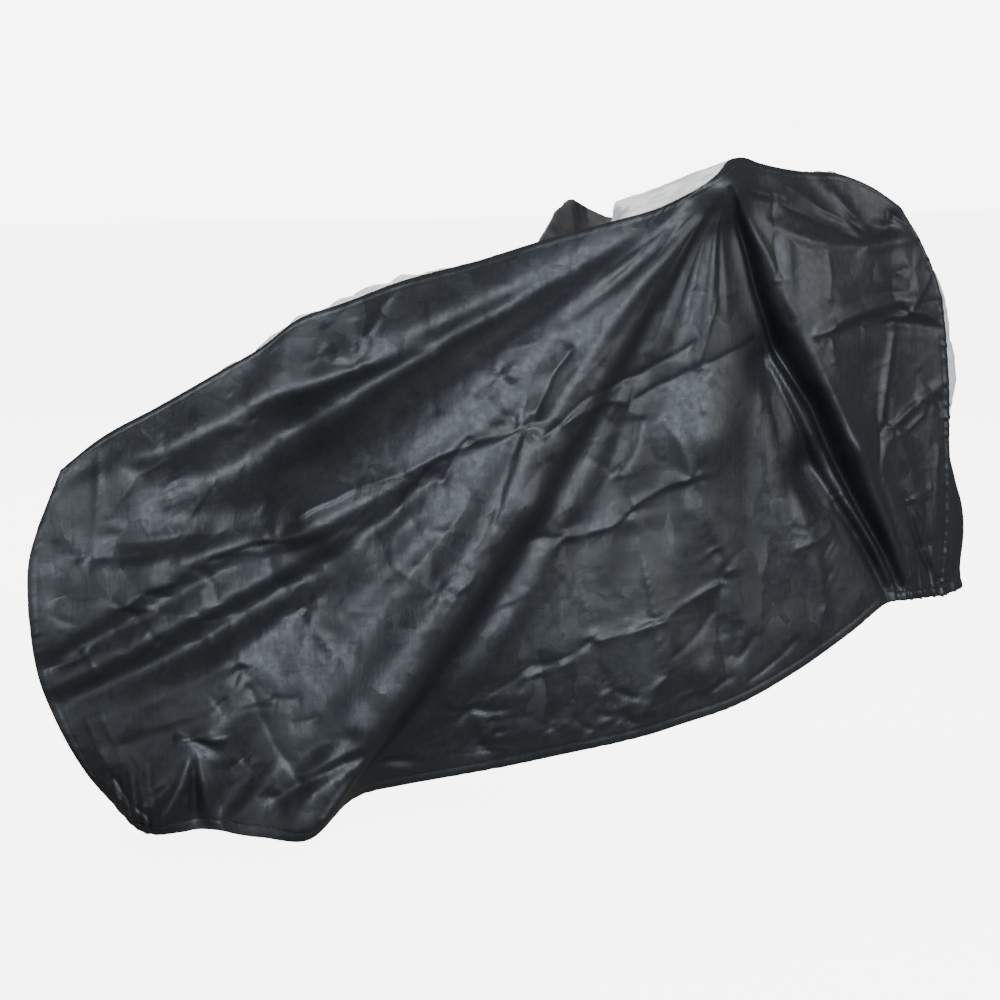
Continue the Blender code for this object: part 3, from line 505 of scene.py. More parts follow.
# crumples where creases meet: place, reach, number of rays and size in mm
Star = namedtuple("Star", "x z reach rays size")
RIGHT_STARS = [Star(*r) for r in (
    (-0.075, 0.735, 0.060, 13, 3.4),
    (-0.110, 0.820, 0.034, 9, 2.2),
    (+0.005, 0.545, 0.040, 11, 3.0),
    (+0.010, 0.720, 0.034, 9, 2.4),
    (+0.135, 0.577, 0.026, 8, 2.4),
    (+0.240, 0.630, 0.032, 9, 3.0),
    (+0.295, 0.450, 0.036, 11, 3.2),
    (+0.055, 0.366, 0.024, 8, 2.4),
    (+0.170, 0.388, 0.022, 7, 2.2),
    (+0.250, 0.820, 0.024, 8, 2.0),
    (-0.225, 0.480, 0.046, 12, 3.0),
    (-0.430, 0.420, 0.034, 9, 2.2),
    (-0.390, 0.385, 0.034, 9, 2.6),
    (-0.480, 0.560, 0.050, 11, 3.0),
    (-0.725, 0.460, 0.032, 9, 2.8),
    (-0.590, 0.500, 0.036, 9, 2.4),
    (-0.790, 0.375, 0.030, 8, 2.4),
    (-0.820, 0.430, 0.036, 8, 1.8),
    (-0.780, 0.545, 0.034, 9, 2.0),
    (-0.550, 0.370, 0.034, 9, 2.4),
    (-0.580, 0.320, 0.026, 8, 2.0),
    (-0.430, 0.455, 0.040, 10, 2.2),
    (-0.165, 0.255, 0.044, 13, 3.4),
    (-0.120, 0.190, 0.036, 9, 3.4),
    (-0.345, 0.175, 0.040, 11, 3.4),
    (-0.025, 0.215, 0.032, 8, 3.0),
    (+0.100, 0.225, 0.044, 10, 3.4),
    (-0.630, 0.245, 0.026, 7, 2.4),
    (-0.730, 0.130, 0.044, 11, 4.2),
    (-0.540, 0.200, 0.050, 9, 2.4),
    (-0.480, 0.160, 0.044, 9, 2.4),
    (-0.330, 0.840, 0.044, 9, 2.2),
    (-0.390, 0.850, 0.040, 9, 2.2),
    (-0.510, 0.740, 0.044, 9, 2.4),
    (-0.650, 0.640, 0.046, 9, 2.2),
    (-0.640, 0.560, 0.036, 8, 1.8),
    (-0.245, 0.660, 0.034, 9, 2.6),
    (+0.100, 0.770, 0.034, 9, 2.0),
    (+0.690, 0.885, 0.036, 9, 2.6),
    (+0.700, 0.960, 0.046, 9, 2.8),
    (+0.595, 1.025, 0.034, 8, 2.4),
    (+0.500, 0.860, 0.034, 8, 2.4),
    (+0.700, 0.540, 0.034, 8, 2.6),
    (+0.660, 0.680, 0.044, 11, 3.0),
    (+0.745, 0.720, 0.040, 9, 3.0),
    (+0.470, 0.505, 0.040, 9, 2.6),
    (+0.400, 1.060, 0.034, 9, 2.4),
    (+0.650, 1.050, 0.030, 8, 2.4),
    (+0.540, 0.560, 0.020, 7, 2.4),
)]
# small creases: how many, the box x0 x1 z0 z1 they lie in, the directions in
# degrees that they keep to, and the seed
SMALL_RIGHT = (
    (70, (-0.85, -0.35, 0.12, 0.60), (20, 35, 80, 115), 401),
    (46, (-0.80, -0.20, 0.55, 0.92), (30, 85, 95, 120), 402),
    (50, (-0.35, 0.12, 0.20, 0.80), (35, 60, 100, 150), 403),
    (34, (+0.05, 0.42, 0.24, 0.80), (10, 80, 100, 120), 404),
    (34, (-0.20, 0.25, 0.80, 1.02), (40, 50, 95, 60), 405),
    (60, (+0.40, 0.79, 0.42, 1.10), (10, 30, 85, 110, 150), 406),
    (40, (-0.35, 0.30, 0.15, 0.27), (10, 70, 120, 150), 407),
)
# left panel, seen only at the front and at the grip: the same kinds of marks
LEFT_SOFT = [Soft(*r) for r in (
    (+0.10, 0.98, -0.10, 0.80, -0.30, 0.62, 0.014, 0.028, 3, 8, 8),
    (+0.12, 0.96, -0.02, 0.76, -0.16, 0.55, 0.012, 0.024, -4, -9, -10),
    (-0.30, 0.62, -0.46, 0.52, -0.66, 0.46, 0.026, 0.022, 8, 8, 4),
    (-0.34, 0.56, -0.54, 0.43, -0.78, 0.34, 0.022, 0.018, -5, -10, -6),
    (-0.20, 0.80, -0.40, 0.72, -0.64, 0.66, 0.026, 0.022, -5, -10, -4),
    (-0.16, 0.55, -0.24, 0.38, -0.34, 0.18, 0.026, 0.020, 8, 10, 8),
    (+0.16, 0.94, +0.17, 0.74, +0.14, 0.50, 0.014, 0.030, 3, 8, 5),
    (+0.20, 0.94, +0.30, 0.72, +0.44, 0.50, 0.012, 0.024, -5, -14, -12),
    (+0.44, 0.50, +0.50, 0.42, +0.58, 0.34, 0.022, 0.014, -12, -10, -5),
    (+0.24, 0.96, +0.40, 0.78, +0.56, 0.54, 0.014, 0.020, 4, 9, 6),
    (+0.40, 0.98, +0.52, 0.92, +0.68, 0.90, 0.014, 0.016, 3, 7, 4),
    (+0.56, 0.84, +0.62, 0.70, +0.66, 0.52, 0.016, 0.016, -3, -8, -5),
    (-0.62, 0.22, -0.60, 0.16, -0.59, 0.10, 0.010, 0.016, 3, 9, 9),
    (-0.66, 0.20, -0.67, 0.15, -0.68, 0.10, 0.010, 0.014, -3, -8, -7),
    (+0.06, 0.40, +0.10, 0.30, +0.12, 0.20, 0.024, 0.020, 4, 7, 4),
)]
LEFT_CREASES = [Crease(*r) for r in (
    (-0.70, 0.64, -0.71, 0.54, -0.70, 0.42, 0.014, +0.2, +2.6),
    (-0.52, 0.72, -0.51, 0.56, -0.52, 0.40, 0.016, -0.2, -2.8),
    (-0.52, 0.40, -0.50, 0.26, -0.47, 0.14, 0.018, +0.3, -3.8),
    (-0.30, 0.78, -0.29, 0.60, -0.30, 0.44, 0.016, +0.2, +2.8),
    (-0.30, 0.44, -0.28, 0.30, -0.26, 0.16, 0.018, -0.3, -3.8),
    (-0.06, 0.80, -0.07, 0.60, -0.06, 0.42, 0.018, +0.2, -3.4),
    (-0.06, 0.42, -0.04, 0.30, -0.02, 0.17, 0.018, -0.3, -4.0),
    (+0.16, 0.60, +0.18, 0.44, +0.20, 0.24, 0.018, +0.4, +4.2),
    (+0.36, 0.80, +0.38, 0.60, +0.40, 0.30, 0.016, -0.2, -3.0),
    (-0.78, 0.44, -0.50, 0.42, -0.30, 0.44, 0.014, +0.3, -3.4),
    (-0.30, 0.44, -0.12, 0.41, +0.16, 0.44, 0.016, -0.4, +3.8),
    (+0.16, 0.44, +0.34, 0.47, +0.58, 0.52, 0.014, +0.3, -3.4),
    (-0.52, 0.62, -0.26, 0.61, +0.04, 0.62, 0.014, +0.2, +3.2),
    (-0.48, 0.25, -0.14, 0.27, +0.18, 0.33, 0.014, -0.3, +3.6),
    (+0.30, 0.90, +0.44, 0.86, +0.64, 0.86, 0.012, +0.2, -3.4),
    (+0.60, 0.96, +0.64, 0.86, +0.68, 0.74, 0.012, +0.2, +3.0),
)]
LEFT_STARS = [Star(*r) for r in (
    (-0.30, 0.44, 0.050, 12, 3.4),
    (-0.52, 0.41, 0.046, 11, 3.0),
    (-0.06, 0.42, 0.050, 12, 3.4),
    (+0.17, 0.45, 0.044, 11, 3.0),
    (-0.28, 0.61, 0.046, 10, 2.8),
    (-0.06, 0.62, 0.044, 10, 2.8),
    (-0.03, 0.27, 0.044, 10, 3.0),
    (-0.48, 0.25, 0.044, 10, 2.8),
    (+0.39, 0.48, 0.044, 10, 3.0),
    (+0.64, 0.86, 0.044, 9, 3.0),
    (-0.70, 0.54, 0.040, 9, 2.4),
    (+0.11, 0.97, 0.060, 9, 6.0),
    (+0.20, 0.26, 0.040, 9, 3.0),
)]
# gathers that the elastic draws up: middle along the hem, reach along it,
# height they climb, spacing of the pleats and their depth in mm
Gather = namedtuple("Gather", "x span climb pitch depth")
RIGHT_GATHERS = [Gather(*r) for r in (
    (+0.735, 0.075, 0.050, 0.013, 4.2),
    (+0.760, 0.060, 0.120, 0.022, 3.0),
    (-0.730, 0.045, 0.050, 0.014, 3.6),
    (+0.310, 0.060, 0.050, 0.022, 1.6),
    (-0.130, 0.070, 0.040, 0.026, 1.6),
    (+0.090, 0.060, 0.040, 0.024, 1.6),
    (-0.345, 0.045, 0.045, 0.022, 1.8),
)]
LEFT_GATHERS = [Gather(*r) for r in (
    (+0.800, 0.080, 0.060, 0.015, 4.0),
    (-0.720, 0.050, 0.050, 0.016, 3.6),
    (+0.300, 0.200, 0.035, 0.026, 1.6),
    (-0.200, 0.200, 0.035, 0.028, 1.6),
)]


# ------------------------------------------------------------- small helpers
def smooth(t):
    t = np.clip(t, 0.0, 1.0)
    return t * t * (3.0 - 2.0 * t)


def spline(keys, values, at):
    """Shape-keeping cubic through rows of values at increasing keys."""
    k = np.asarray(keys, float)
    v = np.asarray(values, float)
    if v.ndim == 1:
        v = v[:, None]
    h = np.diff(k)[:, None]
    s = np.diff(v, axis=0) / h
    m = np.zeros_like(v)
    m[0], m[-1] = s[0], s[-1]
    m[1:-1] = (s[:-1] * h[1:] + s[1:] * h[:-1]) / (h[1:] + h[:-1])
    at = np.clip(np.asarray(at, float), k[0], k[-1])
    i = np.clip(np.searchsorted(k, at, side="right") - 1, 0, len(k) - 2)
    t = ((at - k[i]) / (k[i + 1] - k[i]))[:, None]
    hh = h[i]
    return ((2 * t**3 - 3 * t**2 + 1) * v[i] + (t**3 - 2 * t**2 + t) * hh * m[i]
            + (-2 * t**3 + 3 * t**2) * v[i + 1] + (t**3 - t**2) * hh * m[i + 1])


def edge_points(rows, count, share=None):
    """Points along the smooth curve through an edge table, at equal steps or
    at the shares of its length that the fan of grid lines gives."""
    p = np.array([tuple(r) for r in rows])
    key = np.concatenate([[0.0], np.cumsum(np.linalg.norm(np.diff(p, axis=0), axis=1))])
    fine = spline(key, p, np.linspace(0.0, key[-1], 600))
    run = np.concatenate([[0.0], np.cumsum(np.linalg.norm(np.diff(fine, axis=0), axis=1))])
    want = np.linspace(0.0, 1.0, count)
    if share:
        want = spline([r.grid for r in FAN], [getattr(r, share) for r in FAN], want)[:, 0]
    want = want * run[-1]
    return np.stack([np.interp(want, run, fine[:, i]) for i in range(3)], axis=1)


def coons(bottom, top, rear, front):
    """Sheet between four edges: index 0 runs rear to front, 1 hem to seam."""
    nu, nv = len(bottom), len(rear)
    u = np.linspace(0.0, 1.0, nu)[:, None, None]
    v = np.linspace(0.0, 1.0, nv)[None, :, None]
    ruled_v = (1 - v) * bottom[:, None, :] + v * top[:, None, :]
    ruled_u = (1 - u) * rear[None, :, :] + u * front[None, :, :]
    corners = ((1 - u) * (1 - v) * bottom[0] + u * (1 - v) * bottom[-1]
               + (1 - u) * v * top[0] + u * v * top[-1])
    return ruled_v + ruled_u - corners


def fold_rise(x, z, rows):
    """Sum of soft ridges and troughs, each along a line in side view."""
    out = np.zeros_like(x)
    for f in rows:
        dx, dz = f.x1 - f.x0, f.z1 - f.z0
        length = math.hypot(dx, dz)
        t = ((x - f.x0) * dx + (z - f.z0) * dz) / length**2
        tc = np.clip(t, 0.0, 1.0)
        away = np.hypot(x - f.x0 - tc * dx, z - f.z0 - tc * dz)
        width = f.w0 + (f.w1 - f.w0) * tc
        rise = f.rise0 + (f.rise1 - f.rise0) * tc
        out += rise * np.exp(-(away / width) ** 2)
    return out


def step_drop(x, z, rows):
    """How far the cloth falls back in front of a long diagonal step."""
    zs = np.array([r.z for r in rows])[::-1]
    cols = np.array([(r.x, r.width, r.drop, r.recover) for r in rows])[::-1]
    zc = np.clip(z, zs[0], zs[-1])
    sx, width, drop, recover = (np.interp(zc, zs, cols[:, i]) for i in range(4))
    side = (x - sx) * 0.80
    step = 0.5 * (1.0 + np.tanh(side / width))
    return drop * step * np.exp(-(np.maximum(side, 0.0) / recover) ** 2)


def push_bumps(p, rows):
    x, z = p[..., 0].copy(), p[..., 2].copy()
    for b in rows:
        near = np.exp(-((x - b.x) ** 2 + (z - b.z) ** 2) / b.radius**2)
        p[..., 0] += b.dx * near
        p[..., 1] += b.dy * near
        p[..., 2] += b.dz * near
    return p


def keep_seam(count_v, margin=0.16):
    """Weight of folds: full on the panel, easing to little at the seam."""
    v = np.linspace(0.0, 1.0, count_v)
    return 0.30 + 0.70 * smooth((1.0 - v) / margin)



# ------------------------------------------------------------- grids and noise
NU_RIGHT, NV_RIGHT = 400, 236     # grid lines of the right panel
NU_LEFT, NV_LEFT = 300, 190       # grid lines of the left panel
STRIP_LINES = 40                  # grid lines across the centre strip
HEM_DEPTH = 0.017                 # the hem channel that holds the elastic
HEM_ROLL = 0.0009                 # half thickness of the turned hem
STITCH = 0.0042                   # pitch of the stitching
SHIFT = np.array(BAR)


def shares(count, low, high, span):
    """Steps from 0 to 1 with `low` and `high` extra-fine rows in the first
    and last `span` of the way."""
    mid = count - low - high
    return np.concatenate([np.linspace(0.0, span, low, endpoint=False),
                           np.linspace(span, 1.0 - span, mid, endpoint=False),
                           np.linspace(1.0 - span, 1.0, high)])


def at_shares(rows, want):
    """Points of an edge table at the given shares of its length."""
    line = edge_points(rows, 1200)
    key = np.linspace(0.0, 1.0, 1200)
    return np.stack([np.interp(want, key, line[:, i]) for i in range(3)], axis=1)


def fan(grid, share):
    return spline([r.grid for r in FAN], [getattr(r, share) for r in FAN], grid)[:, 0]


def coons_at(bottom, top, rear, front, us, vs):
    u, v = us[:, None, None], vs[None, :, None]
    corners = ((1 - u) * (1 - v) * bottom[0] + u * (1 - v) * bottom[-1]
               + (1 - u) * v * top[0] + u * v * top[-1])
    return ((1 - v) * bottom[:, None, :] + v * top[:, None, :]
            + (1 - u) * rear[None, :, :] + u * front[None, :, :] - corners)


def table_noise(seed, size=97):
    return np.random.default_rng(seed).uniform(-1.0, 1.0, (size, size))


def soft_noise(x, z, cell, seed):
    """Smooth noise from a small seeded table, -1 to 1."""
    t = table_noise(seed)
    n = t.shape[0]
    a, b = x / cell + 40.0, z / cell + 40.0
    ia, ib = np.floor(a).astype(int), np.floor(b).astype(int)
    fa, fb = smooth(a - ia), smooth(b - ib)
    g = lambda i, j: t[i % n, j % n]
    return ((1 - fa) * (1 - fb) * g(ia, ib) + fa * (1 - fb) * g(ia + 1, ib)
            + (1 - fa) * fb * g(ia, ib + 1) + fa * fb * g(ia + 1, ib + 1))


def facets(x, z, cell, seed):
    """Flat triangles at uneven heights: the small facets of crumpled cloth."""
    t = table_noise(seed)
    n = t.shape[0]
    wx = x + 0.42 * cell * soft_noise(x, z, cell * 1.7, seed + 11)
    wz = z + 0.42 * cell * soft_noise(x, z, cell * 1.7, seed + 12)
    b = wz * 1.1547 / cell + 40.0
    a = wx / cell - 0.5 * b + 60.0
    ia, ib = np.floor(a).astype(int), np.floor(b).astype(int)
    fa, fb = a - ia, b - ib
    g = lambda i, j: t[i % n, j % n]
    h00, h10, h01, h11 = g(ia, ib), g(ia + 1, ib), g(ia, ib + 1), g(ia + 1, ib + 1)
    low = h00 + fa * (h10 - h00) + fb * (h01 - h00)
    high = h11 + (1 - fa) * (h01 - h11) + (1 - fb) * (h10 - h11)
    return np.where(fa + fb < 1.0, low, high)


def line_of(r, n=13):
    """The bent line of a fold through its start, middle and end."""
    t = np.linspace(0.0, 1.0, n)
    cx, cz = 2 * r.xm - 0.5 * (r.x0 + r.x1), 2 * r.zm - 0.5 * (r.z0 + r.z1)
    x = (1 - t)**2 * r.x0 + 2 * t * (1 - t) * cx + t**2 * r.x1
    z = (1 - t)**2 * r.z0 + 2 * t * (1 - t) * cz + t**2 * r.z1
    return x, z


def near_line(x, z, r, reach):
    """Grid points near a fold's line: where they are, how far to its side
    (positive on the left of its direction) and how far along it."""
    lx, lz = line_of(r)
    near = ((x > lx.min() - reach) & (x < lx.max() + reach)
            & (z > lz.min() - reach) & (z < lz.max() + reach))
    px, pz = x[near], z[near]
    best = np.full(px.shape, 1e9)
    side = np.zeros_like(px)
    run = np.zeros_like(px)
    n = len(lx) - 1
    for k in range(n):
        dx, dz = lx[k + 1] - lx[k], lz[k + 1] - lz[k]
        ll = dx * dx + dz * dz + 1e-12
        t = np.clip(((px - lx[k]) * dx + (pz - lz[k]) * dz) / ll, 0.0, 1.0)
        ex, ez = px - lx[k] - t * dx, pz - lz[k] - t * dz
        d = np.hypot(ex, ez)
        hit = d < best
        best = np.where(hit, d, best)
        side = np.where(hit, np.sign(dx * ez - dz * ex), side)
        run = np.where(hit, (k + t) / n, run)
    return near, best, side, run


def soft_folds(x, z, rows):
    """Ridges and troughs; where rows of one fold meet, the stronger counts."""
    up, down = np.zeros_like(x), np.zeros_like(x)
    for r in rows:
        near, d, side, t = near_line(x, z, r, 3.0 * max(r.w0, r.w1))
        width = r.w0 + (r.w1 - r.w0) * t
        rise = spline([0.0, 0.5, 1.0], [r.r0, r.rm, r.r1], t)[:, 0]
        one = 0.001 * rise * np.exp(-(d / width) ** 2)
        up[near] = np.maximum(up[near], one)
        down[near] = np.minimum(down[near], one)
    return up + down


def creases(x, z, rows, seed):
    """Sharp bends: a kink along the line with a flat facet on each side."""
    rng = np.random.default_rng(seed)
    out = np.zeros_like(x)
    for r in rows:
        beat, start = rng.uniform(1.2, 2.8), rng.uniform(0.0, 6.0)
        wobble = rng.uniform(0.0, 6.0)
        near, d, side, t = near_line(x, z, r, 5.0 * r.reach)
        px, pz = x[near], z[near]
        off = side * d + 0.0012 * np.sin(px * 95.0 + wobble) + 0.0010 * np.sin(pz * 120.0 + wobble)
        reach = r.reach * np.where(off > 0, 1.0 + r.lean, 1.0 - r.lean)
        sharp = np.sqrt(off * off + 0.0006**2) - 0.0006
        kink = 0.62 * np.exp(-sharp / (0.42 * reach)) + 0.38 * np.exp(-sharp / (1.7 * reach))
        ends = smooth(t / 0.10 + 0.25) * smooth((1.0 - t) / 0.10 + 0.25)
        ends = ends * np.exp(-(np.maximum(d - np.abs(off) - 0.01, 0.0) / 0.01) ** 2)
        uneven = 0.85 + 0.22 * np.sin(3.14 * beat * t + start)
        out[near] += 0.0013 * r.rise * kink * ends * uneven
    return out


def stars(x, z, rows, seed):
    """Crumples: short creases that radiate from a pinched point."""
    rng = np.random.default_rng(seed)
    out = np.zeros_like(x)
    for r in rows:
        heights = rng.uniform(-1.0, 1.0, r.rays) * rng.choice([0.3, 1.0], r.rays)
        heights[::2] = -np.abs(heights[::2]) - 0.25
        heights[1::2] = np.abs(heights[1::2]) + 0.15
        turn = rng.uniform(0.0, 6.28)
        squeeze = rng.uniform(0.75, 1.25)
        dx, dz = (x - r.x), (z - r.z) * squeeze
        rad = np.hypot(dx, dz)
        near = rad < 2.6 * r.reach
        rr = rad[near] / r.reach
        ang = (np.arctan2(dz[near], dx[near]) + turn + 0.35 * rr) / 6.28318 * r.rays
        i = np.floor(ang).astype(int)
        f = ang - i
        wave = (1 - f) * heights[i % r.rays] + f * heights[(i + 1) % r.rays]
        shape = np.minimum(rr / 0.45, 1.0) * np.exp(-(rr / 1.15) ** 1.5)
        pinch = -0.06 * np.exp(-(rr / 0.20) ** 2)
        out[near] += 0.001 * r.size * (wave * shape + pinch)
    return out


def small_creases(x, z, count, box, tilt, seed):
    """Short fine packing creases at uneven places, turned about `tilt`."""
    rng = np.random.default_rng(seed)
    rows = []
    for _ in range(count):
        cx, cz = rng.uniform(box[0], box[1]), rng.uniform(box[2], box[3])
        a = math.radians(rng.choice(tilt) + rng.normal(0.0, 16.0))
        h = 0.5 * rng.uniform(0.025, 0.110)
        bx, bz = rng.normal(0.0, 0.004, 2)
        rows.append(Crease(cx - h * math.cos(a), cz - h * math.sin(a), cx + bx, cz + bz,
                           cx + h * math.cos(a), cz + h * math.sin(a),
                           rng.uniform(0.005, 0.011), rng.uniform(-0.5, 0.5),
                           rng.choice([-1.0, 1.0]) * rng.uniform(0.35, 1.05)))
    return creases(x, z, rows, seed + 1)


def grip_pleats(x, z, gx, gz, depth, seed):
    """Fine pleats that fan out below and behind a grip."""
    rad = np.hypot(x - gx, z - gz)
    ang = np.degrees(np.arctan2(z - gz, x - gx))
    t = table_noise(seed)[0]
    a = (ang + 400.0) / 4.2
    i = np.floor(a).astype(int)
    f = a - i
    wave = (1 - f) * t[i % 97] + f * t[(i + 1) % 97]
    size = depth * np.minimum(rad / 0.10, 1.0) * np.exp(-(np.maximum(rad - 0.08, 0.0) / 0.20) ** 2)
    return size * wave * (smooth((rad - 0.012) / 0.03))


def hem_gathers(x, z, hem_x, hem_z, rows, seed):
    rng = np.random.default_rng(seed)
    out = np.zeros_like(x)
    up = z - np.interp(x, hem_x, hem_z)
    for g in rows:
        a, b = rng.uniform(0.0, 6.0, 2)
        wave = (np.sin(6.283 * (x + 0.10 * up) / g.pitch + a)
                + 0.6 * np.sin(6.283 * x / (g.pitch * 1.63) + b))
        fade = np.exp(-((x - g.x) / g.span) ** 2) * np.exp(-(np.maximum(up, 0.0) / g.climb) ** 1.4)
        out += 0.001 * g.depth * 0.6 * wave * fade
    return out


def crumple(x, z, worn, seed):
    """Uneven small facets all over, more where `worn` is 1."""
    return (0.0030 * facets(x, z, 0.085, seed) * (0.5 + 0.5 * worn)
            + 0.0015 * facets(x, z, 0.034, seed + 3) * (0.25 + 0.75 * worn)
            + 0.0003 * facets(x, z, 0.015, seed + 5) * worn)


def worn_right(x, z):
    """1 in the crumpled rear and middle, little on the smooth slopes."""
    rear = smooth((-0.10 - x) / 0.35) * smooth((0.72 - z) / 0.12)
    low = smooth((0.34 - z) / 0.14)
    front = smooth((x - 0.50) / 0.12)
    patch = 0.5 + 0.5 * soft_noise(x, z, 0.16, 71)
    return np.clip(0.22 + 0.45 * rear + 0.35 * low + 0.40 * front, 0.0, 1.0) * (0.4 + 0.9 * patch)


# ------------------------------------------------------------------ the sheets
def hem_profile(up):
    """The channel: a soft tube for the elastic with a stitched groove over it."""
    tube = 0.0006 * np.exp(-((up - HEM_DEPTH * 0.5) / (HEM_DEPTH * 0.36)) ** 2)
    groove = -0.0008 * np.exp(-((up - HEM_DEPTH) / 0.0022) ** 2)
    return tube + groove


def seam_profile(away, run):
    """The seam: a dip at the joint, a ridge of turned cloth, a stitched line
    and small puckers across it."""
    dip = -0.0016 * np.exp(-(away / 0.0045) ** 2)
    ridge = 0.0009 * np.exp(-((away - 0.009) / 0.0042) ** 2)
    line = -0.0007 * np.exp(-((away - 0.015) / 0.0020) ** 2)
    pucker = (soft_noise(run + 0.25 * away, 0 * run, 0.008, 301)
              + 0.8 * soft_noise(run - 0.35 * away, 0 * run, 0.019, 302))
    size = 0.0006 + 0.0009 * np.abs(soft_noise(run, 0 * run, 0.11, 303))
    return dip + ridge + line + size * pucker * np.exp(-(away / 0.018) ** 2)


def steps_along(line):
    return np.concatenate([[0.0], np.cumsum(np.linalg.norm(np.diff(line, axis=0), axis=1))])


def from_edge(p, axis, end):
    """Distance over the cloth from one edge of the grid."""
    d = np.linalg.norm(np.diff(p, axis=axis), axis=2)
    run = np.concatenate([np.zeros_like(np.take(d, [0], axis)), np.cumsum(d, axis=axis)], axis=axis)
    if end:
        run = np.take(run, [-1], axis) - run
    return run


def seam_marks(p):
    """Seam profile on the rear, top and front edges of a panel grid."""
    top = seam_profile(from_edge(p, 1, True), steps_along(p[:, -1])[:, None] + 0 * p[..., 0])
    rear = seam_profile(from_edge(p, 0, False), steps_along(p[0])[None, :] + 0 * p[..., 0])
    front = seam_profile(from_edge(p, 0, True), steps_along(p[-1])[None, :] + 0 * p[..., 0])
    return 0.6 * top + 0.8 * rear + 2.2 * front


def right_sheet():
    us = np.linspace(0.0, 1.0, NU_RIGHT)
    vs = shares(NV_RIGHT, 14, 12, 0.042)
    p = coons_at(at_shares(RIGHT_HEM, fan(us, "hem")), at_shares(RIGHT_TOP, fan(us, "top")),
                 at_shares(RIGHT_REAR, vs), at_shares(RIGHT_FRONT[::-1], vs), us, vs)
    p = push_bumps(p, RIGHT_BUMPS)
    x, z = p[..., 0].copy(), p[..., 2].copy()
    seam = (0.30 + 0.70 * smooth((1.0 - vs) / 0.16))[None, :]
    p[..., 1] -= seam * fold_rise(x, z, RIGHT_FOLDS)
    p[..., 1] += seam * step_drop(x, z, RIGHT_STEP)
    up = from_edge(p, 1, False)
    edge = (0.25 + 0.75 * smooth((1.0 - vs) / 0.05))[None, :] * \
        (0.35 + 0.65 * smooth(us / 0.04) * smooth((1.0 - us) / 0.03))[:, None]
    hem_in = 0.35 + 0.65 * smooth(up / 0.05)
    worn = worn_right(x, z)
    rise = soft_folds(x, z, RIGHT_SOFT) * (0.5 + 0.5 * smooth(up / 0.03))
    rise += creases(x, z, RIGHT_CREASES, 5) * hem_in
    rise += stars(x, z, RIGHT_STARS, 9) * hem_in
    rise += crumple(x, z, worn, 21) * hem_in
    for count, box, tilt, seed in SMALL_RIGHT:
        rise += small_creases(x, z, count, box, tilt, seed) * hem_in
    below = smooth((1.10 - z) / 0.04) * smooth((0.36 - x) / 0.05)
    rise += grip_pleats(x, z, 0.285, 1.135, 0.0020, 33) * below
    rise = rise * edge
    rise += hem_gathers(x, z, p[:, 0, 0], p[:, 0, 2], RIGHT_GATHERS, 41)
    rise += hem_profile(up) + seam_marks(p)
    p[..., 1] -= rise
    return p, us, vs


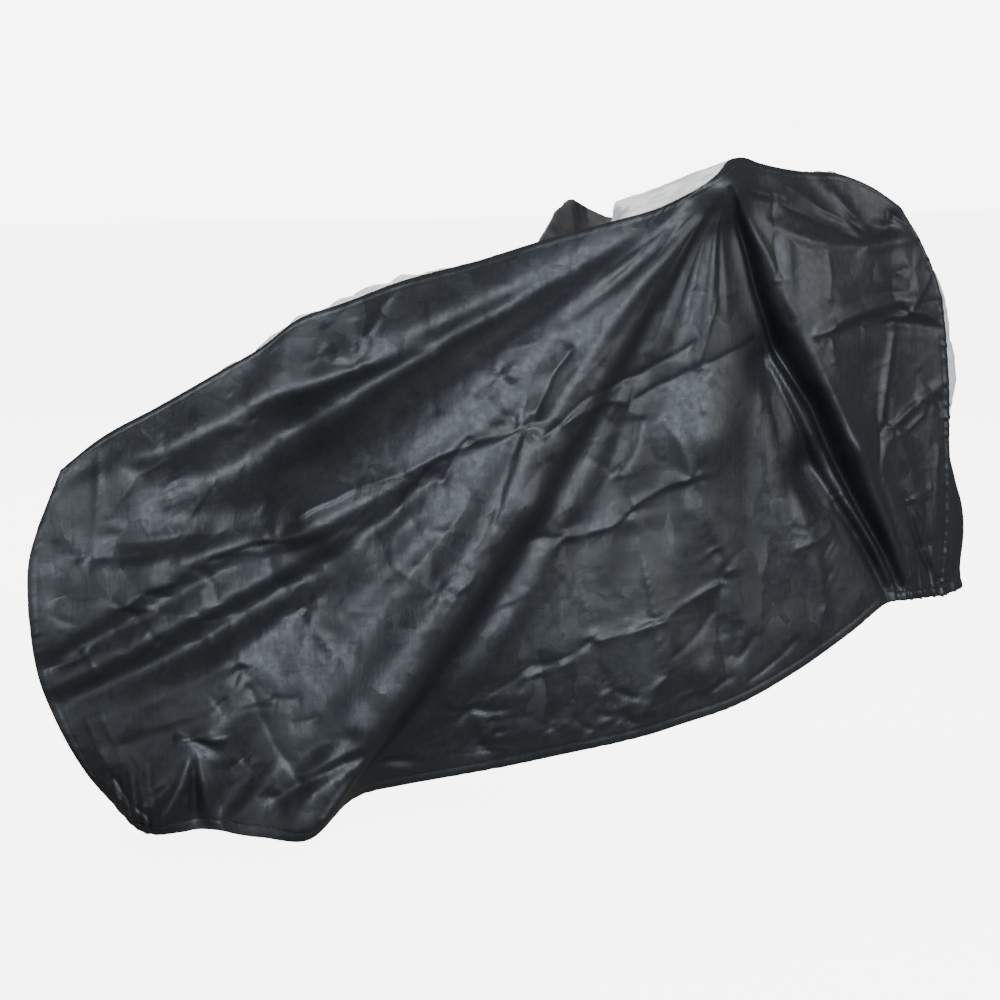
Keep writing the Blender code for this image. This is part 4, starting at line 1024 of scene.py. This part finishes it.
def left_sheet(right, us_right, vs_right):
    """The left panel hangs from the other side of the centre strip."""
    seam, stations = seam_line(right, us_right, vs_right)
    got = strip_rows(stations)
    line = seam + got[:, :3]
    us = np.linspace(0.0, 1.0, NU_LEFT)
    vs = shares(NV_LEFT, 12, 10, 0.042)

    def part(along, lo, hi, want):
        pick = [np.interp(lo + (hi - lo) * want, stations, along[:, i]) for i in range(3)]
        return np.stack(pick, axis=1)

    # the panel hangs from the calm run of the seam; puckers stay at the seam
    calm = line.copy()
    for _ in range(3):
        wide = np.vstack([2.0 * calm[0] - calm[7:0:-1], calm, 2.0 * calm[-1] - calm[-2:-9:-1]])
        calm = np.stack([np.convolve(wide[:, i], np.ones(15) / 15.0, mode="valid")
                         for i in range(3)], axis=1)
    rear, top, front = (part(calm, 0.0, 1.0, vs), part(calm, 1.0, 2.0, fan(us, "top")),
                        part(calm, 2.0, 3.0, 1.0 - vs))
    rows = list(LEFT_HEM)
    rows[0], rows[-1] = Edge(*rear[0]), Edge(*front[0])
    p = coons_at(at_shares(rows, fan(us, "hem")), top, rear, front, us, vs)
    off_rear, off_top, off_front = (part(line, 0.0, 1.0, vs) - rear,
                                    part(line, 1.0, 2.0, fan(us, "top")) - top,
                                    part(line, 2.0, 3.0, 1.0 - vs) - front)
    by_rear = (1.0 - smooth(us / 0.035))[:, None, None]
    by_front = (1.0 - smooth((1.0 - us) / 0.035))[:, None, None]
    by_top = (1.0 - smooth((1.0 - vs) / 0.05))[None, :, None]
    p = p + by_rear * off_rear[None] + by_front * off_front[None] + by_top * off_top[:, None] \
        - by_top * (by_rear * off_rear[-1] + by_front * off_front[-1])
    x, z = p[..., 0].copy(), p[..., 2].copy()
    inside = smooth((1.0 - vs) / 0.075)[None, :] * \
        smooth(us / 0.06)[:, None] * smooth((1.0 - us) / 0.08)[:, None]
    q = push_bumps(p.copy(), LEFT_BUMPS)
    q[..., 1] += fold_rise(x, z, LEFT_FOLDS)
    turn = smooth((us - 0.72) / 0.22)[:, None] * smooth((1.0 - us) / 0.10)[:, None] * \
        smooth((0.70 - vs) / 0.35)[None, :]
    low = 0.35 + 0.65 * smooth(vs / 0.22)
    q[..., 0] += 0.064 * turn * low[None, :]
    p = p + (q - p) * inside[..., None]
    up = from_edge(p, 1, False)
    hem_in = 0.35 + 0.65 * smooth(up / 0.05)
    worn = 0.45 + 0.3 * soft_noise(x, z, 0.2, 88)
    rise = soft_folds(x, z, LEFT_SOFT) + creases(x, z, LEFT_CREASES, 6) * hem_in
    rise += stars(x, z, LEFT_STARS, 10) * hem_in + crumple(x, z, worn, 51) * hem_in
    rise += small_creases(x, z, 180, (-0.85, 0.80, 0.14, 0.96), (20, 80, 100, 140), 411) * hem_in
    rise += 1.6 * small_creases(x, z, 46, (-0.02, 0.26, 0.88, 1.05), (50, 70, 110, 130), 413)
    rise += grip_pleats(x, z, 0.14, 1.0, 0.0030, 35) * smooth((0.98 - z) / 0.05)
    keep = smooth((1.0 - vs) / 0.04)[None, :] * smooth(us / 0.03)[:, None] * \
        smooth((1.0 - us) / 0.03)[:, None]
    gather = hem_gathers(x, z, p[:, 0, 0], p[:, 0, 2], LEFT_GATHERS, 43)
    rise = (rise + gather + hem_profile(up)) * keep + seam_marks(p) * \
        (smooth((1.0 - vs) / 0.006)[None, :] * smooth(us / 0.006)[:, None]
         * smooth((1.0 - us) / 0.006)[:, None])
    # outward is +Y on the side and turns to +X round the tyre at the front
    normal = cloth_normals(p)
    if normal[NU_LEFT // 2, NV_LEFT // 2, 1] < 0:
        normal = -normal
    p = p + rise[..., None] * normal
    return p


def strip_rows(stations):
    got = spline([r.station for r in STRIP],
                 [(r.dx, r.dy, r.dz, r.crown) for r in STRIP], stations)
    got[np.asarray(stations) >= STRIP[-2].station] = 0.0
    return got


def seam_line(p, us, vs):
    """Rear, top and front edges of the right panel with their stations."""
    line = np.concatenate([p[0, :-1], p[:-1, -1], p[-1, ::-1]])
    stations = np.concatenate([vs[:-1], 1.0 + fan(us, "top")[:-1], 3.0 - vs[::-1]])
    return line, stations


def cloth_normals(p):
    n = np.cross(np.gradient(p, axis=0), np.gradient(p, axis=1))
    return n / np.maximum(np.linalg.norm(n, axis=2), 1e-12)[..., None]


def strip_sheet(right, us, vs):
    seam, stations = seam_line(right, us, vs)
    last = int(np.searchsorted(stations, STRIP_END, side="right"))
    seam, stations = seam[:last], stations[:last]
    got = strip_rows(stations)
    far = seam + got[:, :3]
    crown = got[:, 3]
    t = np.linspace(0.0, 1.0, STRIP_LINES)
    ahead = np.gradient(0.5 * (seam + far), axis=0)
    k = np.ones(9) / 9.0
    for i in range(3):
        ahead[4:-4, i] = np.convolve(ahead[:, i], k, mode="valid")
    across = far - seam
    up = np.cross(ahead, across)
    up = up / np.maximum(np.linalg.norm(up, axis=1), 1e-9)[:, None]
    up = np.where((up @ np.array([0.0, 0.0, 1.0]))[:, None] < -0.2, -up, up)
    run = steps_along(seam)
    out = np.zeros((last, STRIP_LINES, 3))
    wide = smooth(across[:, 1] / 0.12)
    for j, w in enumerate(t):
        arch = 4.0 * w * (1.0 - w)
        drop = 0.006 * math.sin(math.pi * w) * np.sin(stations * 23.0 + 2.6 * w) * wide
        y = w * np.abs(across[:, 1])
        small = (0.0060 * facets(run, y, 0.060, 61) + 0.0040 * facets(run, y, 0.026, 62)
                 + 0.0012 * facets(run, y, 0.012, 63))
        pull = 0.0030 * np.sin(run * 6.283 / 0.060 + 3.0 * np.sin(run * 9.0) + 2.0 * w)
        edge = min(w, 1.0 - w)
        loose = (0.25 + 0.75 * smooth((crown - 0.006) / 0.012)) * smooth(edge / 0.10) * wide
        loose = loose * (1.0 - 0.7 * smooth((stations - 1.95) / 0.1))
        rise = (crown - 0.004) * arch + drop + (small + pull) * loose
        out[:, j] = seam + w * across + rise[:, None] * up
    return out


def hem_turn(p, outward):
    """Rows of the cloth turned in under the hem and stitched up inside it."""
    hem = p[:, 0]
    up = p[:, 4] - hem
    up = up / np.maximum(np.linalg.norm(up, axis=1), 1e-9)[:, None]
    out = outward[:, 2]
    turn = [(0.0175, 1.0), (0.0150, 2.1), (0.0110, 2.6), (0.0065, 2.6), (0.0028, 2.5),
            (0.0006, 2.0), (-0.0006, 1.0)]
    rows = [hem + a * up - b * HEM_ROLL * out for a, b in turn]
    return np.concatenate([np.stack(rows, axis=1), p], axis=1)


def sheet(name, p, flip, material):
    nu, nv = p.shape[:2]
    mesh = bpy.data.meshes.new(name)
    index = np.arange(nu * nv).reshape(nu, nv)
    a, b, c, d = index[:-1, :-1], index[1:, :-1], index[1:, 1:], index[:-1, 1:]
    quads = np.stack([a, b, c, d], axis=-1).reshape(-1, 4)
    if flip:
        quads = quads[:, ::-1]
    mesh.from_pydata((p - SHIFT).reshape(-1, 3).tolist(), [], quads.tolist())
    mesh.polygons.foreach_set("use_smooth", [True] * len(mesh.polygons))
    mesh.update()
    mesh.materials.append(material)
    obj = bpy.data.objects.new(name, mesh)
    bpy.context.scene.collection.objects.link(obj)
    return obj


def stitches(name, line, outward, pitch, material, size=0.00042):
    """Short raised threads laid end to end along a sewn line."""
    run = steps_along(line)
    n = int(run[-1] / pitch)
    at = (np.arange(n) + 0.5) * pitch
    pick = lambda s: np.stack([np.interp(s, run, line[:, i]) for i in range(3)], axis=1)
    mid, a, b = pick(at), pick(at - 0.36 * pitch), pick(at + 0.36 * pitch)
    out = np.stack([np.interp(at, run, outward[:, i]) for i in range(3)], axis=1)
    out = out / np.maximum(np.linalg.norm(out, axis=1), 1e-9)[:, None]
    side = np.cross(b - a, out)
    side = side / np.maximum(np.linalg.norm(side, axis=1), 1e-9)[:, None]
    verts, faces = [], []
    for c, wide, lift in ((a, 0.45, 0.0), (mid, 1.0, 1.0), (b, 0.45, 0.0)):
        verts += [c + side * size * wide + out * size * 0.2,
                  c + out * (size * (0.6 + 0.9 * lift)),
                  c - side * size * wide + out * size * 0.2,
                  c - out * size * 0.8]
    v = np.stack(verts, axis=1).reshape(-1, 3)
    for k in range(n):
        o = 12 * k
        faces.append((o, o + 1, o + 2, o + 3))
        faces.append((o + 11, o + 10, o + 9, o + 8))
        for s in (0, 4):
            for m in range(4):
                q = (m + 1) % 4
                faces.append((o + s + m, o + s + 4 + m, o + s + 4 + q, o + s + q))
    mesh = bpy.data.meshes.new(name)
    mesh.from_pydata((v - SHIFT).tolist(), [], faces)
    mesh.polygons.foreach_set("use_smooth", [True] * len(mesh.polygons))
    mesh.materials.append(material)
    obj = bpy.data.objects.new(name, mesh)
    bpy.context.scene.collection.objects.link(obj)
    return obj


# ------------------------------------------------------------------- materials
def cloth_material(name, dark, light, rough, weave, wrinkle, metallic=0.0, specular=0.5, facet=1.0):
    """Coated taffeta: streaky yarns, a tight plain weave and fine wrinkles."""
    m = bpy.data.materials.new(name)
    m.use_nodes = True
    nt = m.node_tree
    bsdf = nt.nodes["Principled BSDF"]
    bsdf.inputs["Metallic"].default_value = metallic
    bsdf.inputs["Specular IOR Level"].default_value = specular
    coord = nt.nodes.new("ShaderNodeTexCoord")

    def noise(scale, detail, stretch):
        mp = nt.nodes.new("ShaderNodeMapping")
        mp.inputs["Scale"].default_value = stretch
        tx = nt.nodes.new("ShaderNodeTexNoise")
        tx.inputs["Scale"].default_value = scale
        tx.inputs["Detail"].default_value = detail
        nt.links.new(coord.outputs["Object"], mp.inputs["Vector"])
        nt.links.new(mp.outputs["Vector"], tx.inputs["Vector"])
        return tx.outputs["Fac"]

    warp = noise(170.0, 2.0, (1.0, 1.0, 0.022))
    weft = noise(260.0, 2.0, (0.035, 0.05, 1.0))
    cloud = noise(9.0, 4.0, (1.0, 1.0, 1.0))
    small = noise(95.0, 3.0, (1.0, 1.0, 1.0))
    # colour: yarn streaks over slow clouds of wear
    tone = nt.nodes.new("ShaderNodeMix")
    tone.data_type = "FLOAT"
    tone.inputs[0].default_value = 0.42
    nt.links.new(cloud, tone.inputs[2])
    nt.links.new(warp, tone.inputs[3])
    ramp = nt.nodes.new("ShaderNodeValToRGB")
    ramp.color_ramp.elements[0].position = 0.30
    ramp.color_ramp.elements[1].position = 0.72
    ramp.color_ramp.elements[0].color = (*dark, 1.0)
    ramp.color_ramp.elements[1].color = (*light, 1.0)
    nt.links.new(tone.outputs[0], ramp.inputs["Fac"])
    nt.links.new(ramp.outputs["Color"], bsdf.inputs["Base Color"])
    rr = nt.nodes.new("ShaderNodeMapRange")
    rr.inputs["From Min"].default_value = 0.3
    rr.inputs["From Max"].default_value = 0.7
    rr.inputs["To Min"].default_value = rough - 0.05
    rr.inputs["To Max"].default_value = rough + 0.07
    nt.links.new(small, rr.inputs["Value"])
    nt.links.new(rr.outputs["Result"], bsdf.inputs["Roughness"])
    # crumpled cloth: flat facets of uneven size, each leaning its own way,
    # in patches that come and go
    lean = coord.outputs["Normal"]
    for scale, stretch, push, seed, tilt in ((24.0, (1.0, 1.0, 0.62), 0.11, 0.0, 0.16),
                                             (58.0, (0.8, 1.0, 1.15), 0.06, 3.7, 0.08)):
        mp = nt.nodes.new("ShaderNodeMapping")
        mp.inputs["Scale"].default_value = stretch
        mp.inputs["Location"].default_value = (seed, seed, seed)
        warp_by = nt.nodes.new("ShaderNodeTexNoise")
        warp_by.inputs["Scale"].default_value = 11.0
        warp_by.inputs["Detail"].default_value = 3.0
        add = nt.nodes.new("ShaderNodeVectorMath")
        add.operation = "MULTIPLY_ADD"
        add.inputs[1].default_value = (push, push, push)
        cell = nt.nodes.new("ShaderNodeTexVoronoi")
        cell.inputs["Scale"].default_value = scale
        nt.links.new(coord.outputs["Object"], mp.inputs["Vector"])
        nt.links.new(mp.outputs["Vector"], warp_by.inputs["Vector"])
        nt.links.new(warp_by.outputs["Color"], add.inputs[0])
        nt.links.new(mp.outputs["Vector"], add.inputs[2])
        nt.links.new(add.outputs[0], cell.inputs["Vector"])
        centred = nt.nodes.new("ShaderNodeVectorMath")
        centred.operation = "SUBTRACT"
        centred.inputs[1].default_value = (0.5, 0.5, 0.5)
        nt.links.new(cell.outputs["Color"], centred.inputs[0])
        patch = noise(6.0 + seed, 2.0, (1.0, 1.0, 1.0))
        fade = nt.nodes.new("ShaderNodeMapRange")
        fade.inputs["From Min"].default_value = 0.42
        fade.inputs["From Max"].default_value = 0.62
        fade.inputs["To Min"].default_value = 0.15 * tilt * facet
        fade.inputs["To Max"].default_value = tilt * facet
        nt.links.new(patch, fade.inputs["Value"])
        sized = nt.nodes.new("ShaderNodeVectorMath")
        sized.operation = "SCALE"
        nt.links.new(centred.outputs[0], sized.inputs[0])
        nt.links.new(fade.outputs["Result"], sized.inputs["Scale"])
        total = nt.nodes.new("ShaderNodeVectorMath")
        total.operation = "ADD"
        nt.links.new(lean, total.inputs[0])
        nt.links.new(sized.outputs[0], total.inputs[1])
        lean = total.outputs[0]
    unit = nt.nodes.new("ShaderNodeVectorMath")
    unit.operation = "NORMALIZE"
    nt.links.new(lean, unit.inputs[0])
    last = unit.outputs[0]
    for source, depth in ((warp, weave * 2.2), (weft, weave * 0.8), (small, wrinkle)):
        bump = nt.nodes.new("ShaderNodeBump")
        bump.inputs["Strength"].default_value = 1.0
        bump.inputs["Distance"].default_value = depth
        nt.links.new(source, bump.inputs["Height"])
        nt.links.new(last, bump.inputs["Normal"])
        last = bump.outputs["Normal"]
    nt.links.new(last, bsdf.inputs["Normal"])
    return m


def thread_material(name, colour):
    m = bpy.data.materials.new(name)
    m.use_nodes = True
    nt = m.node_tree
    bsdf = nt.nodes["Principled BSDF"]
    bsdf.inputs["Roughness"].default_value = 0.5
    tx = nt.nodes.new("ShaderNodeTexNoise")
    tx.inputs["Scale"].default_value = 900.0
    ramp = nt.nodes.new("ShaderNodeValToRGB")
    ramp.color_ramp.elements[0].color = tuple(0.75 * c for c in colour) + (1.0,)
    ramp.color_ramp.elements[1].color = (*colour, 1.0)
    nt.links.new(tx.outputs["Fac"], ramp.inputs["Fac"])
    nt.links.new(ramp.outputs["Color"], bsdf.inputs["Base Color"])
    bump = nt.nodes.new("ShaderNodeBump")
    bump.inputs["Distance"].default_value = 0.0001
    nt.links.new(tx.outputs["Fac"], bump.inputs["Height"])
    nt.links.new(bump.outputs["Normal"], bsdf.inputs["Normal"])
    return m


black_right = cloth_material("taffeta_right", (0.0105, 0.0112, 0.0125), (0.0165, 0.0180, 0.0205),
                             0.43, 0.00013, 0.00007)
black_left = cloth_material("taffeta_left", (0.0105, 0.0112, 0.0125), (0.0165, 0.0180, 0.0205),
                            0.43, 0.00013, 0.00007)
silver = cloth_material("coated_silver", (0.76, 0.77, 0.78), (0.90, 0.91, 0.92),
                        0.38, 0.00008, 0.00010)
black_thread = thread_material("thread_black", (0.060, 0.064, 0.070))
grey_thread = thread_material("thread_grey", (0.42, 0.43, 0.44))

# ---------------------------------------------------------------------- pieces
right, us, vs = right_sheet()
left = left_sheet(right, us, vs)
strip = strip_sheet(right, us, vs)

right_out = cloth_normals(right)
right_out = right_out if right_out[NU_RIGHT // 2, NV_RIGHT // 2, 1] < 0 else -right_out
left_out = cloth_normals(left)
left_out = left_out if left_out[NU_LEFT // 2, NV_LEFT // 2, 1] > 0 else -left_out

right_cloth = sheet("right_panel_cloth", hem_turn(right, right_out), False, black_right)
left_cloth = sheet("left_panel_cloth", hem_turn(left, left_out), True, black_left)
strip_cloth = sheet("centre_strip_cloth", strip, False, silver)


def row_at(p, normal, distance):
    """The line over the cloth at one distance up from its hem."""
    up = from_edge(p, 1, False)
    j = np.argmin(np.abs(up - distance), axis=1)
    i = np.arange(p.shape[0])
    return p[i, j], normal[i, j]


hem_stitch_right = stitches("hem_stitches_right", *row_at(right, right_out, HEM_DEPTH), STITCH, black_thread)
hem_stitch_left = stitches("hem_stitches_left", *row_at(left, left_out, HEM_DEPTH), STITCH, black_thread)


def beside_front(p, normal, distance):
    away = from_edge(p, 0, True)
    i = np.argmin(np.abs(away - distance), axis=0)
    j = np.arange(p.shape[1])
    return p[i, j], normal[i, j]


front_stitch = stitches("front_seam_stitches", *beside_front(right, right_out, 0.015), STITCH, black_thread)
top_line = np.array([right[i, np.argmin(np.abs(from_edge(right[i:i + 1], 1, True)[0] - 0.015))]
                     for i in range(0, NU_RIGHT, 2)])
top_norm = np.array([right_out[i, np.argmin(np.abs(from_edge(right[i:i + 1], 1, True)[0] - 0.015))]
                     for i in range(0, NU_RIGHT, 2)])
top_stitch = stitches("top_seam_stitches", top_line, top_norm, STITCH, black_thread)

# ----------------------------------------------------------------------- riding
for piece, node in ((right_cloth, "side_panel_right"), (left_cloth, "side_panel_left"),
                    (strip_cloth, "centre_strip")):
    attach(piece, "root")
    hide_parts(node)
for piece, slot in ((hem_stitch_right, "side_panel_right"), (hem_stitch_left, "side_panel_left"),
                    (front_stitch, "side_panel_right"), (top_stitch, "side_panel_right")):
    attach(piece, "root")


# ------------------------------------------------------- floor, lights, camera
lo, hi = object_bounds()
HEM_OVER_GROUND = 0.085
ground = lo[2] - HEM_OVER_GROUND
size = 14.0
mesh = bpy.data.meshes.new("floor")
mesh.from_pydata([(-size, -size, ground), (size, -size, ground), (size, size, ground),
                  (-size, size, ground)], [], [(0, 1, 2, 3)])
floor = bpy.data.objects.new("floor", mesh)
bpy.context.scene.collection.objects.link(floor)
pale = bpy.data.materials.new("pale_floor")
pale.use_nodes = True
nt = pale.node_tree
bsdf = nt.nodes["Principled BSDF"]
bsdf.inputs["Base Color"].default_value = (0.88, 0.88, 0.88, 1.0)
bsdf.inputs["Emission Color"].default_value = (1.0, 1.0, 1.0, 1.0)
bsdf.inputs["Emission Strength"].default_value = 6.0
bsdf.inputs["Roughness"].default_value = 0.9
bsdf.inputs["Specular IOR Level"].default_value = 0.1
mesh.materials.append(pale)
floor.visible_diffuse = False
floor.visible_glossy = False

world = bpy.data.worlds.new("studio")
bpy.context.scene.world = world
world.use_nodes = True
nt = world.node_tree
nt.nodes.clear()
out = nt.nodes.new("ShaderNodeOutputWorld")
mix = nt.nodes.new("ShaderNodeMixShader")
path = nt.nodes.new("ShaderNodeLightPath")
room, white = nt.nodes.new("ShaderNodeBackground"), nt.nodes.new("ShaderNodeBackground")
room.inputs["Color"].default_value = (1.0, 0.97, 0.93, 1.0)
room.inputs["Strength"].default_value = 0.16
white.inputs["Color"].default_value = (1.0, 1.0, 1.0, 1.0)
white.inputs["Strength"].default_value = 7.0
nt.links.new(path.outputs["Is Camera Ray"], mix.inputs[0])
nt.links.new(room.outputs[0], mix.inputs[1])
nt.links.new(white.outputs[0], mix.inputs[2])
nt.links.new(mix.outputs[0], out.inputs["Surface"])

middle = Vector([(a + b) / 2 for a, b in zip(lo, hi)])


def softbox(name, place, wide, high, power, colour=(1.0, 1.0, 1.0), aim=None):
    light = bpy.data.lights.new(name, "AREA")
    light.shape = "RECTANGLE"
    light.size, light.size_y = wide, high
    light.energy = power
    light.color = colour
    obj = bpy.data.objects.new(name, light)
    obj.location = middle + Vector(place)
    target = middle + Vector(aim or (0.0, 0.0, 0.0))
    obj.rotation_euler = (target - obj.location).to_track_quat("-Z", "Y").to_euler()
    bpy.context.scene.collection.objects.link(obj)
    return obj


softbox("key", (-0.3, -3.6, 1.4), 2.4, 2.0, 128.0, (0.80, 0.90, 1.0))
softbox("middle_right", (1.2, -3.5, 1.2), 2.0, 1.8, 48.0, (0.82, 0.91, 1.0))
softbox("far_right", (2.8, -2.4, 0.9), 2.0, 1.8, 42.0, (0.94, 0.97, 1.0))
softbox("low_left", (-2.6, -2.6, -0.3), 2.0, 1.8, 14.0, (0.84, 0.92, 1.0))
softbox("over", (0.0, 0.9, 2.6), 3.0, 1.4, 24.0)
softbox("back", (-0.8, 3.2, 2.0), 2.6, 1.8, 90.0)

camera_data = bpy.data.cameras.new("camera")
camera_data.lens = 70.2
camera_data.sensor_width = 36.0
camera_data.clip_end = 100.0
camera = bpy.data.objects.new("camera", camera_data)
AZIMUTH, DOWN = math.radians(-12.0), math.radians(12.5)
look = Vector((-math.sin(AZIMUTH) * math.cos(DOWN), math.cos(AZIMUTH) * math.cos(DOWN), -math.sin(DOWN)))
camera.location = (-1.028, -3.377, 0.207)
camera.rotation_euler = look.to_track_quat("-Z", "Y").to_euler()
bpy.context.scene.collection.objects.link(camera)
bpy.context.scene.camera = camera

bpy.context.view_layer.update()
